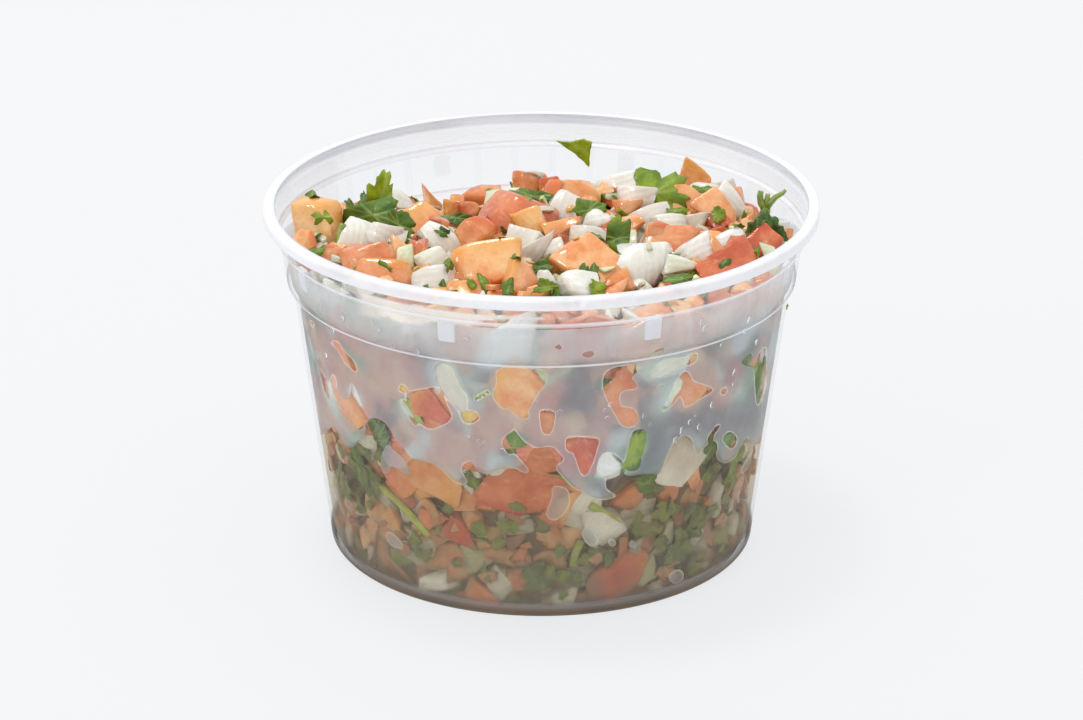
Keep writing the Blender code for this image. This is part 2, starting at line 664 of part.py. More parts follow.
def make_stuck_leaf():
    """A scrap of leaf held by its own wetness to the back of the band's inner face."""
    green = plain_material("leaf_green", (0.22, 0.36, 0.03), 0.45)
    gap = 0.3
    eye, ahead = view_ray(*STUCK_LEAF_AT)
    rows = 4
    outline = [Vector((x, y)) for x, y in STUCK_LEAF_OUTLINE]
    middle = sum(outline, Vector((0, 0))) / len(outline)
    seat_inner = body_radius(BAND_BOTTOM) + BAND_STEP - WALL - gap - LUG_PROUD
    reach = seat_inner + BAND_DRAFT * (SEAT_LEVEL - BAND_BOTTOM) - 0.4
    far = next(
        eye + ahead * d
        for d in np.arange(700, 1000, 0.25)
        if (eye + ahead * d).y > 0 and math.hypot((eye + ahead * d).x, (eye + ahead * d).y) > reach
    )
    heading = math.atan2(far.y, far.x)

    def on_band(flat, depth):
        angle = heading - flat.x / reach
        radius = reach - depth - 0.25 * math.cos(0.9 * flat.x) ** 2
        return Vector((radius * math.cos(angle), radius * math.sin(angle), far.z + flat.y))

    bm = bmesh.new()
    layers = []
    for depth in (0.0, STUCK_LEAF_THICKNESS):
        loops = []
        for k in range(rows, 0, -1):
            loops.append([bm.verts.new(on_band(middle.lerp(p, k / rows), depth)) for p in outline])
        layers.append((loops, bm.verts.new(on_band(middle, depth))))
    count = len(outline)
    for loops, centre in layers:
        for outer, inner in zip(loops, loops[1:]):
            for i in range(count):
                j = (i + 1) % count
                bm.faces.new((outer[i], outer[j], inner[j], inner[i]))
        for i in range(count):
            bm.faces.new((loops[-1][i], loops[-1][(i + 1) % count], centre))
    for i in range(count):
        j = (i + 1) % count
        back, front = layers[0][0][0], layers[1][0][0]
        bm.faces.new((back[i], front[i], front[j], back[j]))
    bmesh.ops.recalc_face_normals(bm, faces=bm.faces)
    return new_object("stuck_leaf", bm, green)


def main():
    for old in list(bpy.data.objects):
        bpy.data.objects.remove(old)
    make_tub()
    make_heap()
    make_stuck_leaf()


main()
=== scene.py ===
# %% [markdown]
# # A deli tub of pico de gallo
#
# The real object is a thin, slightly milky plastic tub that is filled past its brim with diced
# tomato, diced onion and chopped cilantro. Juice has gathered in its lower part, and the dry part
# of its wall is fogged from inside. This lesson dresses the plain solids of that object: it keeps
# their sizes, and makes every piece of food, the juice, the fog and the plastic look real.
# The first cell loads the solids. All lengths below are in millimetres until a mesh is made.

# %% Load the solids
import math
import bpy
import numpy as np
from mathutils import Matrix, Vector
from mathutils.bvhtree import BVHTree


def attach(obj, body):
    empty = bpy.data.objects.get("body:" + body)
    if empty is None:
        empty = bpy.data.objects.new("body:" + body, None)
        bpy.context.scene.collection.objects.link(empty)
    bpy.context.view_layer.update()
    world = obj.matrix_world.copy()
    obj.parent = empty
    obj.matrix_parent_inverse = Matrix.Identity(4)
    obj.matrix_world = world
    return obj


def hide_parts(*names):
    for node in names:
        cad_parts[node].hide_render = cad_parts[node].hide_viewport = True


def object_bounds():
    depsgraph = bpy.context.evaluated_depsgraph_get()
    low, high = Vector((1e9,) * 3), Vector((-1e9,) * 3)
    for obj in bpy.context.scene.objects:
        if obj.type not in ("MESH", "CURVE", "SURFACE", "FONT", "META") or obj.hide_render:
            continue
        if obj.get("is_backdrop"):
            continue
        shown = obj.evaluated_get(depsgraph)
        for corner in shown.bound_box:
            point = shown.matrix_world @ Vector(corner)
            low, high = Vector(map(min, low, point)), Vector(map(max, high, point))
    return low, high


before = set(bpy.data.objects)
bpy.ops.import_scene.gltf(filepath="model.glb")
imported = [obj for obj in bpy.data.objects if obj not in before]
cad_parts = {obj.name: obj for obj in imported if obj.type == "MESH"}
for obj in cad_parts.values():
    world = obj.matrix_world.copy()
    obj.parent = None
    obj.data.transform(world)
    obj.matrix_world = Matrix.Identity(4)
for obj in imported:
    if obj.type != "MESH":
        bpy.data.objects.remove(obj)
cad_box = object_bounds()
scene = bpy.context.scene
MM = 0.001
print("solids:", sorted(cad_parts))

# %% [markdown]
# ## The camera
#
# The ellipses of the tub's rim and foot give the camera: how far back and how high it stands, how
# far it tips down, and its focus. It could be placed by eye, but a fitted camera also lets us do
# the opposite sum: from a column and row of the picture to a place on the object. Most pieces of
# food are placed that way, so the two helpers below are used in almost every later cell.

# %% Camera and lines of sight
VIEW_BACK, VIEW_UP, VIEW_PITCH = 756.1, 349.4, 0.38944
VIEW_FOCUS = 3806.6
VIEW_MIDDLE = (541.7, 360.0)
PICTURE_WIDTH = 1083

camera = bpy.data.objects.new("view", bpy.data.cameras.new("view"))
camera.location = (0, -VIEW_BACK * MM, VIEW_UP * MM)
camera.rotation_euler = (math.pi / 2 - VIEW_PITCH, 0, 0)
camera.data.sensor_width = 36
camera.data.lens = VIEW_FOCUS * 36 / PICTURE_WIDTH
camera.data.clip_start, camera.data.clip_end = 0.05, 20
scene.collection.objects.link(camera)
scene.camera = camera

EYE = np.array((0.0, -VIEW_BACK, VIEW_UP))
AHEAD = np.array((0.0, math.cos(VIEW_PITCH), -math.sin(VIEW_PITCH)))
ABOVE = np.array((0.0, math.sin(VIEW_PITCH), math.cos(VIEW_PITCH)))


def seen_at(points):
    """Column and row at which the view shows each point."""
    away = points - EYE
    depth = away @ AHEAD
    columns = VIEW_MIDDLE[0] + VIEW_FOCUS * away[:, 0] / depth
    rows = VIEW_MIDDLE[1] - VIEW_FOCUS * (away @ ABOVE) / depth
    return np.stack([columns, rows], axis=1)


def sight_line(column, row):
    """Points a quarter of a millimetre apart along the line of sight."""
    across = (column - VIEW_MIDDLE[0]) / VIEW_FOCUS
    down = (row - VIEW_MIDDLE[1]) / VIEW_FOCUS
    way = AHEAD + across * np.array((1.0, 0, 0)) - down * ABOVE
    way = way / np.linalg.norm(way)
    return EYE + np.arange(640.0, 940.0, 0.25)[:, None] * way


def first_seen(column, row, gap):
    """The first point on the line of sight where the gap closes, or else where it is least."""
    points = sight_line(column, row)
    left = gap(points)
    closed = np.nonzero(left <= 0)[0]
    return points[closed[0] if len(closed) else np.argmin(left)]


def on_depth(column, row, y):
    """The point on the line of sight that lies this far behind the tub's axis."""
    points = sight_line(column, row)
    return points[np.argmin(np.abs(points[:, 1] - y))]


print("lens:", round(camera.data.lens, 1), "mm")

# %% [markdown]
# ## The form of the tub
#
# The wall tapers, steps out to a wider band that lets empty tubs nest, steps out again at the
# small ledge where the lid seats, and ends in a rolled rim. These are the same named sizes as the
# solid's, so that each piece fits it. The functions give the radius of the wall at a height.

# %% Tub sizes
RIM_RADIUS = 58.75
TUB_HEIGHT = 75.8
FOOT_RADIUS = 45.6
WALL = 0.8
DRAFT = 0.1233
BAND_BOTTOM = 59.4
BAND_STEP = 1.1
BAND_DRAFT = 0.13
SEAT_LEVEL = 69.0
SEAT_STEP = 0.7
RIM_DEPTH = 2.4
FOOT_RECESS = 1.0
FLOOR_THICKNESS = 0.9
FOOT_RING_WIDTH = 2.4
FLOOR_TOP = FOOT_RECESS + FLOOR_THICKNESS
BAND_LOW = FOOT_RADIUS + DRAFT * BAND_BOTTOM + BAND_STEP
BAND_HIGH = BAND_LOW + BAND_DRAFT * (SEAT_LEVEL - BAND_BOTTOM)
NECK = BAND_HIGH + SEAT_STEP


def body_radius(z):
    return FOOT_RADIUS + DRAFT * z


def inner_radius(z):
    return body_radius(z) - WALL


def band_inner(z):
    return BAND_LOW + BAND_DRAFT * (z - BAND_BOTTOM) - WALL


def radius_of(points):
    return np.hypot(points[:, 0], points[:, 1])


def on_wall(column, row):
    """Where the line of sight first meets the inside of the wall's front half."""
    return first_seen(column, row, lambda p: radius_of(p) - inner_radius(p[:, 2]))


print("inside radius at the foot and under the band:", inner_radius(0), round(inner_radius(BAND_BOTTOM), 1))

# %% [markdown]
# ## Making meshes from arrays
#
# Hundreds of diced pieces are needed. Objects made one by one with operators would be slow, so
# each piece is a small array of points and a list of quads, and all pieces of a kind are gathered
# in one mesh. Facts about each point, such as how near it is to the tomato's skin, go along as
# named attributes, which the materials read later. Most shapes here are rings of points joined by
# quads, so three short helpers make the turns, one ring, and the quads between two rings.

# %% A mesh, and a batch of pieces
def mesh_object(name, points, faces, facts, *materials):
    """A smooth mesh on the object's body. Its facts become attributes of its points."""
    mesh = bpy.data.meshes.new(name)
    mesh.from_pydata((points * MM).tolist(), [], faces)
    for label, values in facts.items():
        values = np.asarray(values, np.float32)
        kind, field = ("FLOAT_VECTOR", "vector") if values.ndim == 2 else ("FLOAT", "value")
        layer = mesh.attributes.new(label, kind, "POINT")
        layer.data.foreach_set(field, values.ravel())
    mesh.polygons.foreach_set("use_smooth", [True] * len(mesh.polygons))
    for material in materials:
        mesh.materials.append(material)
    made = bpy.data.objects.new(name, mesh)
    scene.collection.objects.link(made)
    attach(made, "root")
    print(f"{name}: {sum(len(face) - 2 for face in faces)} triangles")
    return made


class Batch:
    """Gathers pieces of one kind and makes one mesh of them."""

    def __init__(self):
        self.points, self.faces, self.facts, self.total = [], [], {}, 0

    def add(self, points, quads, caps=(), **facts):
        self.points.append(points)
        self.faces.append(np.asarray(quads) + self.total)
        if len(caps):
            self.faces.append(np.asarray(caps) + self.total)
        for name, values in facts.items():
            shape = points.shape if np.ndim(values) == 2 else len(points)
            full = np.broadcast_to(np.asarray(values, dtype=float), shape)
            self.facts.setdefault(name, []).append(full)
        self.total += len(points)

    def build(self, name, *materials):
        faces = [face for group in self.faces for face in group.tolist()]
        facts = {label: np.concatenate(parts) for label, parts in self.facts.items()}
        print(len(self.points), "pieces in", name)
        return mesh_object(name, np.concatenate(self.points), faces, facts, *materials)


def moved(points, place):
    """Points taken through a 4 by 4 placing matrix."""
    turn = np.array(place)
    return points @ turn[:3, :3].T + turn[:3, 3]


# %% Rings of points
def turns(count):
    """Even turns round the axis."""
    return np.arange(count) * 2 * math.pi / count


def ring(reach, turn, z):
    """Points round the axis, one for each turn."""
    return np.stack([reach * np.cos(turn), reach * np.sin(turn), z + 0 * turn], axis=1)


def between(low, high, count):
    """Quads between two rings, given the number of each one's first point."""
    return [(low + i, low + (i + 1) % count, high + (i + 1) % count, high + i) for i in range(count)]


def ring_faces(count, columns, low_pole=None, high_pole=None):
    """Quads between rings that go outward and upward, with fans to the poles."""
    faces = [face for k in range(count - 1) for face in between(k * columns, (k + 1) * columns, columns)]
    last = (count - 1) * columns
    for i in range(columns):
        j = (i + 1) % columns
        if low_pole is not None:
            faces.append((j, i, low_pole))
        if high_pole is not None:
            faces.append((last + i, last + j, high_pole))
    return faces


print("helpers for meshes ready")

# %% [markdown]
# ## Where the wall is wet
#
# This is what makes a filled plastic tub look filled. Where juice or a wet cut face touches the
# wall, the plastic turns clear and the food shows in full colour, with a sharp edge. Everywhere
# else the inside is fogged and the food shows only as a pale haze. The outlines below are places
# in the picture, traced one by one. For each point of the wall we find how far inside the nearest
# wet outline it lies, in millimetres. A distance makes a sharp edge even on a coarse mesh, where
# a plain wet or dry mark would show steps. The part of the wall that the picture doesn't show
# gets outlines of the same kind from a seeded rule.

# %% Outlines of the wet and the dry places on the front
JUICE_LINE = [
    (270, 446), (300, 441), (320, 437), (333, 427), (341, 440), (347, 448), (355, 446), (359, 440),
    (366, 445), (366, 432), (367, 421), (374, 418), (382, 420), (390, 430), (394, 437), (388, 443),
    (383, 452), (381, 462), (382, 471), (386, 475), (390, 472), (391, 466), (396, 469), (402, 473),
    (409, 476), (411, 472), (405, 460), (398, 453), (391, 447), (391, 441), (398, 442), (404, 449),
    (410, 457), (420, 461), (431, 463), (440, 468), (448, 476), (456, 483), (463, 485), (468, 482),
    (464, 474), (461, 470), (464, 464), (470, 461), (474, 464), (476, 469), (481, 473), (488, 474),
    (498, 470), (506, 467), (514, 468), (522, 472), (528, 473), (529, 469), (522, 461), (515, 451),
    (519, 448), (527, 444), (535, 448), (545, 447), (553, 447), (559, 453), (564, 460), (558, 464),
    (556, 469), (561, 475), (568, 483), (575, 489), (583, 492), (590, 497), (600, 500), (609, 499),
    (617, 496), (611, 492), (606, 487), (607, 480), (613, 475), (622, 474), (630, 476), (637, 475),
    (650, 474), (661, 474), (663, 468), (667, 458), (671, 448), (676, 440), (683, 436), (690, 437),
    (693, 443), (695, 452), (699, 458), (702, 452), (704, 448), (708, 444), (708, 438), (713, 430),
    (719, 424), (720, 427), (715, 434), (713, 442), (716, 441), (718, 446), (716, 454), (718, 460),
    (724, 463), (731, 461), (737, 455), (741, 447), (745, 440), (748, 437), (751, 446), (757, 444),
    (763, 436), (768, 427), (790, 422), (815, 420), (815, 680), (270, 680),
]
WET_PATCHES = {
    "tomato_far_left": [
        (319, 369), (322, 374), (328, 381), (331, 380), (333, 374), (336, 379), (337, 388), (341, 396),
        (346, 399), (350, 396), (351, 384), (355, 389), (360, 402), (366, 414), (365, 421), (360, 430),
        (354, 425), (342, 412), (335, 404), (328, 397), (325, 391),
    ],
    "tomato_strip": [
        (331, 343), (335, 341), (339, 343), (345, 352), (352, 359), (357, 367), (356, 372), (352, 369),
        (346, 364), (341, 355), (336, 347),
    ],
    "tomato_and_seeds": [
        (407, 395), (411, 391), (425, 389), (433, 387), (441, 390), (446, 402), (452, 415), (449, 421),
        (441, 426), (431, 429), (424, 426), (417, 419), (410, 410), (407, 402),
    ],
    "stem_scrap": [
        (401, 400), (408, 403), (418, 420), (419, 424), (414, 424), (405, 410),
    ],
    "seed_left": [
        (399, 389), (401, 385), (405, 385), (407, 389), (405, 392), (400, 392),
    ],
    "onion_shaving": [
        (435, 367), (441, 363), (450, 366), (455, 372), (459, 385), (466, 395), (468, 402), (463, 412),
        (457, 409), (449, 400), (441, 390), (437, 380),
    ],
    "seed_middle": [
        (460, 415), (465, 411), (473, 411), (478, 414), (479, 419), (473, 423), (465, 423),
    ],
    "stem_middle": [
        (475, 397), (488, 390), (489, 393), (477, 401),
    ],
    "orange_middle": [
        (493, 395), (497, 385), (497, 372), (505, 368), (525, 369), (545, 371), (546, 382), (540, 391),
        (533, 402), (528, 411), (530, 416), (524, 419), (515, 414), (509, 408), (502, 408),
    ],
    "tomato_chip": [
        (540, 412), (547, 410), (555, 413), (554, 425), (551, 433), (547, 435), (542, 430),
    ],
    "leaf_middle": [
        (503, 440), (508, 434), (512, 432), (515, 427), (519, 436), (526, 443), (524, 447), (517, 450),
        (512, 455), (507, 452), (503, 446),
    ],
    "tomato_triangle": [
        (566, 441), (570, 437), (585, 437), (599, 439), (597, 450), (593, 462), (588, 473), (584, 476),
        (580, 471), (576, 459), (573, 452), (567, 451),
    ],
    "tomato_hook": [
        (603, 385), (606, 372), (622, 366), (641, 365), (639, 371), (632, 378), (638, 386), (634, 389),
        (625, 390), (620, 394), (620, 403), (623, 407), (632, 408), (638, 415), (637, 423), (630, 427),
        (622, 425), (616, 415), (611, 406), (605, 394),
    ],
    "tomato_right": [
        (680, 376), (686, 371), (691, 376), (693, 381), (701, 384), (710, 387), (713, 391), (703, 397),
        (692, 404), (685, 407), (683, 400), (678, 392), (677, 384),
    ],
    "onion_ribbon": [
        (648, 377), (655, 366), (665, 360), (682, 358), (690, 355), (697, 353), (697, 359), (692, 364),
        (680, 368), (670, 374), (659, 378),
    ],
    "onion_ribbon_low": [
        (661, 409), (667, 402), (672, 390), (677, 380), (680, 388), (679, 396), (672, 405), (664, 411),
    ],
    "leaf_strip": [
        (625, 468), (628, 450), (631, 437), (634, 431), (642, 429), (647, 435), (645, 446), (642, 458),
        (639, 468), (632, 471),
    ],
    "leaf_corner": [
        (652, 355), (657, 350), (666, 348), (662, 354), (657, 359),
    ],
    "small_red": [
        (721, 391), (725, 387), (727, 390), (725, 395), (721, 394),
    ],
    "small_red_left": [
        (659, 387), (662, 384), (665, 384), (662, 389),
    ],
    "leaf_shade": [
        (723, 440), (728, 432), (735, 434), (737, 441), (734, 447), (730, 448),
    ],
    "leaf_far_right": [
        (741, 363), (746, 357), (751, 353), (754, 361), (758, 355), (765, 347), (767, 356), (766, 372),
        (767, 385), (761, 400), (758, 405), (756, 398), (755, 380), (754, 368), (747, 366),
    ],
    "onion_round": [
        (598, 472), (600, 460), (606, 453), (616, 455), (623, 463), (623, 478), (614, 476), (606, 478),
    ],
    "leaf_band": [
        (555, 347), (560, 344), (562, 350), (557, 349),
    ],
    "red_band": [
        (582, 354), (588, 351), (595, 352), (592, 357), (585, 357),
    ],
    "leaf_rim_left": [
        (310, 320), (313, 322), (314, 327), (312, 326),
    ],
}
DRY_POCKETS = {
    "finger": [
        (553, 487), (560, 486), (568, 490), (570, 499), (569, 507), (563, 515), (557, 520), (551, 520),
        (546, 515), (549, 505), (552, 497),
    ],
    "oval": [
        (386, 533), (390, 532), (397, 537), (403, 544), (402, 548), (396, 548), (389, 544), (386, 538),
    ],
    "round": [
        (582, 532), (587, 527), (592, 528), (596, 535), (598, 542), (594, 546), (588, 545), (583, 538),
    ],
    "right": [
        (741, 474), (743, 466), (748, 457), (752, 452), (751, 462), (747, 470),
    ],
    "low_right": [
        (669, 576), (675, 570), (682, 571), (684, 577), (679, 583), (672, 583),
    ],
    "bubble_a": [
        (608, 542), (611, 538), (616, 541), (615, 546), (610, 546),
    ],
    "bubble_b": [
        (629, 544), (632, 540), (637, 543), (636, 548), (631, 548),
    ],
}
print(len(WET_PATCHES), "wet patches above the juice,", len(DRY_POCKETS), "pockets of air in it")


# %% Distance to an outline
def smooth_outline(corners, steps=4):
    """A closed curve through the corners."""
    p = np.array(corners, float)
    before, after, next_after = np.roll(p, 1, 0), np.roll(p, -1, 0), np.roll(p, -2, 0)
    curve = []
    for t in np.arange(steps) / steps:
        bend = (
            2 * p + (after - before) * t
            + (2 * before - 5 * p + 4 * after - next_after) * t ** 2
            + (3 * p - before - 3 * after + next_after) * t ** 3
        )
        curve.append(bend / 2)
    return np.stack(curve, axis=1).reshape(-1, 2)


def depth_inside(spots, outline):
    """How far each spot lies inside the outline, or with a minus sign how far outside."""
    starts, ends = outline, np.roll(outline, -1, 0)
    least = np.full(len(spots), 1e9)
    inside = np.zeros(len(spots), bool)
    for a, b in zip(starts, ends):
        edge = b - a
        share = np.clip((spots - a) @ edge / max(edge @ edge, 1e-9), 0, 1)
        least = np.minimum(least, np.hypot(*(spots - a - share[:, None] * edge).T))
        crosses = (a[1] > spots[:, 1]) != (b[1] > spots[:, 1])
        with np.errstate(divide="ignore", invalid="ignore"):
            meets = a[0] + (spots[:, 1] - a[1]) / (b[1] - a[1]) * edge[0]
        inside ^= crosses & (spots[:, 0] < meets)
    return np.where(inside, least, -least)


SPOTS_PER_MM = 4.9
ROUND_MM = 50.0
BACK_SEED, BACK_PATCHES, BACK_BUBBLES = 21, 70, 26


def front_wetness(points):
    spots = seen_at(points)
    wet = depth_inside(spots, smooth_outline(JUICE_LINE))
    for corners in WET_PATCHES.values():
        wet = np.maximum(wet, depth_inside(spots, smooth_outline(corners)))
    for corners in DRY_POCKETS.values():
        wet = np.minimum(wet, -depth_inside(spots, smooth_outline(corners)))
    return wet / SPOTS_PER_MM


def waves(angle, rng, counts, strength):
    """A sum of a few waves round the tub."""
    return sum(strength / n * np.sin(n * angle + rng.uniform(0, 6.28)) for n in counts)


def front_share(angle):
    """1 on the front of the wall and 0 on its back, with a soft change at the sides."""
    return np.clip((-0.02 - np.sin(angle)) / 0.10, 0, 1)


def back_juice_line(angle, rng):
    """Height of the juice at the back: slow waves, and small quick ones."""
    return 24.5 + waves(angle, rng, (3, 5, 8, 13, 21), 7.0) + waves(angle, rng, (29, 47, 71), 55.0)


def spot_at_back(rng, low, high):
    """A drawn place on the wall: how far round, and how high."""
    return rng.uniform(-10, 170) * math.pi / 180 * ROUND_MM, rng.uniform(low, high)


def back_wetness(points):
    """The same kind of outlines for the part of the wall that the front view doesn't show."""
    rng = np.random.default_rng(BACK_SEED)
    angle = np.arctan2(points[:, 1], points[:, 0])
    along = angle * ROUND_MM
    wet = back_juice_line(angle, rng) - points[:, 2]
    for _ in range(BACK_PATCHES):
        centre, height = spot_at_back(rng, 27, 58)
        long, wide, tilt = rng.uniform(2, 6), rng.uniform(1.2, 3.2), rng.uniform(0, 3.14)
        across, up = along - centre, points[:, 2] - height
        u = across * math.cos(tilt) + up * math.sin(tilt)
        v = -across * math.sin(tilt) + up * math.cos(tilt)
        around = np.arctan2(v, u)
        lobes = 1 + 0.24 * np.sin(2 * around + tilt * 7) + 0.20 * np.sin(3 * around + tilt * 5)
        lobes = lobes + 0.1 * np.sin(7 * around + tilt)
        wet = np.maximum(wet, wide * (lobes - np.hypot(u / long, v / wide)))
    for _ in range(BACK_BUBBLES):
        centre, height = spot_at_back(rng, 6, 22)
        size = rng.uniform(0.8, 2.4)
        wet = np.minimum(wet, np.hypot(along - centre, points[:, 2] - height) - size)
    return wet


def wetness(points):
    """Millimetres inside the wet region, everywhere on the wall."""
    front = front_share(np.arctan2(points[:, 1], points[:, 0]))
    wet = front * front_wetness(points) + (1 - front) * back_wetness(points)
    return np.clip(wet, -6, 6)


print("outlines ready")

# %% [markdown]
# ## Nodes in a few words
#
# Materials are node trees. Made by hand, each node takes several lines, so these helpers add a
# node, set its fields and link its inputs in one call. An input that is given another node's
# output is linked, and one that is given a number or a colour is set.

# %% Node helpers
def add(tree, kind, inputs=None, **settings):
    node = tree.nodes.new(kind)
    for key, value in settings.items():
        setattr(node, key, value)
    for key, value in (inputs or {}).items():
        if isinstance(value, bpy.types.NodeSocket):
            tree.links.new(value, node.inputs[key])
        else:
            node.inputs[key].default_value = value
    return node


def fact(tree, name, out="Fac"):
    """Reads a named attribute of the mesh."""
    return add(tree, "ShaderNodeAttribute", attribute_name=name).outputs[out]


def maths(tree, operation, *values, clamp=False):
    node = add(tree, "ShaderNodeMath", dict(enumerate(values)), operation=operation, use_clamp=clamp)
    return node.outputs[0]


def mix_colour(tree, share, a, b, blend="MIX"):
    node = add(tree, "ShaderNodeMix", {0: share, 6: a, 7: b}, data_type="RGBA", blend_type=blend)
    return node.outputs[2]


def ramp(tree, value, low, high, to_low=0.0, to_high=1.0, smooth=False):
    """Takes the range low to high to the range to_low to to_high."""
    kind = "SMOOTHSTEP" if smooth else "LINEAR"
    inputs = {"Value": value, "From Min": low, "From Max": high, "To Min": to_low, "To Max": to_high}
    return add(tree, "ShaderNodeMapRange", inputs, interpolation_type=kind).outputs["Result"]


def noise(tree, scale, detail=3.0, roughness=0.55, where=None, out="Fac"):
    inputs = {"Scale": scale, "Detail": detail, "Roughness": roughness}
    if where is not None:
        inputs["Vector"] = where
    return add(tree, "ShaderNodeTexNoise", inputs).outputs[out]


def from_paint(red, green, blue, alpha=1.0):
    """A colour as a paint program shows it, 0 to 255, made linear for a shader."""
    def linear(c):
        c = c / 255
        return c / 12.92 if c <= 0.04045 else ((c + 0.055) / 1.055) ** 2.4
    return (linear(red), linear(green), linear(blue), alpha)


def new_material(name):
    material = bpy.data.materials.new(name)
    material.use_nodes = True
    material.node_tree.nodes.clear()
    return material, material.node_tree


def finish_with(tree, shader):
    add(tree, "ShaderNodeOutputMaterial", {"Surface": shader})


def object_place(tree):
    return add(tree, "ShaderNodeTexCoord").outputs["Object"]


def bump(tree, height, strength, distance):
    inputs = {"Height": height, "Strength": strength, "Distance": distance}
    return add(tree, "ShaderNodeBump", inputs).outputs[0]


def principled(tree, colour, roughness, more):
    inputs = {"Base Color": colour, "Roughness": roughness, **more}
    return add(tree, "ShaderNodeBsdfPrincipled", inputs).outputs[0]


def see_through(tree, colour):
    return add(tree, "ShaderNodeBsdfTransparent", {"Color": colour}).outputs[0]


def glow_through(tree, colour):
    return add(tree, "ShaderNodeBsdfTranslucent", {"Color": colour}).outputs[0]


def mix_shader(tree, share, a, b):
    return add(tree, "ShaderNodeMixShader", {0: share, 1: a, 2: b}).outputs[0]


# %% [markdown]
# ## Three effects that several materials share
#
# Cut vegetables are never one colour: they are mottled by their cells. They are wet, so their
# gloss changes from place to place. And those deep in the juice take its colour. Each effect is
# one node group with named inputs, placed in each food material with its own numbers. The first
# puts out a colour and a height for bumps, the second a roughness, the third a colour.

# %% Group: mottled flesh
def group_with(name, inputs, outputs):
    group = bpy.data.node_groups.new(name, "ShaderNodeTree")
    for label, kind, value in inputs:
        socket = group.interface.new_socket(label, in_out="INPUT", socket_type=kind)
        if value is not None:
            socket.default_value = value
    for label, kind in outputs:
        group.interface.new_socket(label, in_out="OUTPUT", socket_type=kind)
    return group, group.nodes.new("NodeGroupInput").outputs, group.nodes.new("NodeGroupOutput").inputs


flesh_group, given, gives = group_with(
    "mottled_flesh",
    [("Pale", "NodeSocketColor", (1, 1, 1, 1)), ("Deep", "NodeSocketColor", (0.5, 0.5, 0.5, 1)),
     ("Place", "NodeSocketVector", None), ("Patch Size", "NodeSocketFloat", 0.35),
     ("Cell Size", "NodeSocketFloat", 1.3)],
    [("Colour", "NodeSocketColor"), ("Height", "NodeSocketFloat")],
)
patches = noise(flesh_group, given["Patch Size"], 3.0, 0.6, given["Place"])
cells = add(flesh_group, "ShaderNodeTexVoronoi", {"Vector": given["Place"], "Scale": given["Cell Size"]})
spread = ramp(flesh_group, patches, 0.32, 0.68, smooth=True)
colour = mix_colour(flesh_group, spread, given["Pale"], given["Deep"])
fine = ramp(flesh_group, cells.outputs["Distance"], 0.0, 0.8, 0.94, 1.04)
lit = mix_colour(flesh_group, 1.0, colour, fine, "MULTIPLY")
flesh_group.links.new(lit, gives["Colour"])
height = maths(flesh_group, "ADD", patches, maths(flesh_group, "MULTIPLY", cells.outputs["Distance"], 0.35))
flesh_group.links.new(height, gives["Height"])

# %% Group: wet gloss
gloss_group, given, gives = group_with(
    "wet_gloss",
    [("Place", "NodeSocketVector", None), ("Wet", "NodeSocketFloat", 0.12),
     ("Drier", "NodeSocketFloat", 0.4)],
    [("Roughness", "NodeSocketFloat")],
)
pools = ramp(gloss_group, noise(gloss_group, 0.5, 2.0, 0.5, given["Place"]), 0.42, 0.6, smooth=True)
rough_inputs = {"Value": pools, "To Min": given["Wet"], "To Max": given["Drier"]}
wet_rough = add(gloss_group, "ShaderNodeMapRange", rough_inputs)
gloss_group.links.new(wet_rough.outputs["Result"], gives["Roughness"])

# %% Group: soaked in juice
soak_group, given, gives = group_with(
    "soaked_in_juice",
    [("Colour", "NodeSocketColor", (0.5, 0.5, 0.5, 1)), ("Soak", "NodeSocketFloat", 0.0),
     ("Juice", "NodeSocketColor", from_paint(140, 122, 96))],
    [("Colour", "NodeSocketColor")],
)
soak_share = maths(soak_group, "MULTIPLY", given["Soak"], 0.9)
soaked = mix_colour(soak_group, soak_share, given["Colour"], given["Juice"])
soak_group.links.new(soaked, gives["Colour"])
print("groups:", [g.name for g in bpy.data.node_groups])


def use_group(tree, group, inputs):
    return add(tree, "ShaderNodeGroup", inputs, node_tree=group).outputs


# %% [markdown]
# ## Tomato
#
# Diced tomato shows three things: pale, wet flesh that runs from peach to salmon, a thin skin of
# a deeper red on one side, and yellowish jelly on the other. The attribute `shade` moves a whole
# piece between peach and red, `skin` is 1 on the skin side, and `jelly` is 1 on the seed side.
# A little subsurface light makes the thin edges glow, as they do in the real dice.

# %% Tomato material
def food_material(name):
    """A new material, its tree, and the two facts that every food reads."""
    material, tree = new_material(name)
    return material, tree, fact(tree, "grain", "Vector"), fact(tree, "shade")


def two_tones(tree, shade, light, dark):
    return mix_colour(tree, shade, from_paint(*light), from_paint(*dark))


def flesh(tree, place, pale, deep, patch_size, cell_size=1.3):
    inputs = {"Pale": pale, "Deep": deep, "Place": place, "Patch Size": patch_size, "Cell Size": cell_size}
    return use_group(tree, flesh_group, inputs)


def wet_gloss(tree, place, wet, drier):
    return use_group(tree, gloss_group, {"Place": place, "Wet": wet, "Drier": drier})["Roughness"]


def food_shader(tree, colour, roughness, height, strength, coat, subsurface, radius):
    cloudy = ramp(tree, noise(tree, 0.45, 2.0, 0.6, fact(tree, "grain", "Vector")), 0.3, 0.7, 0.72, 1.15)
    soak = maths(tree, "MULTIPLY", fact(tree, "soak"), cloudy, clamp=True)
    soaked = use_group(tree, soak_group, {"Colour": colour, "Soak": soak})
    return principled(tree, soaked["Colour"], roughness, {
        "Normal": bump(tree, height, strength, 0.0003), "Coat Weight": coat, "Coat Roughness": 0.06,
        "Subsurface Weight": subsurface, "Subsurface Radius": radius, "Subsurface Scale": 0.0022,
        "Specular IOR Level": 0.45,
    })


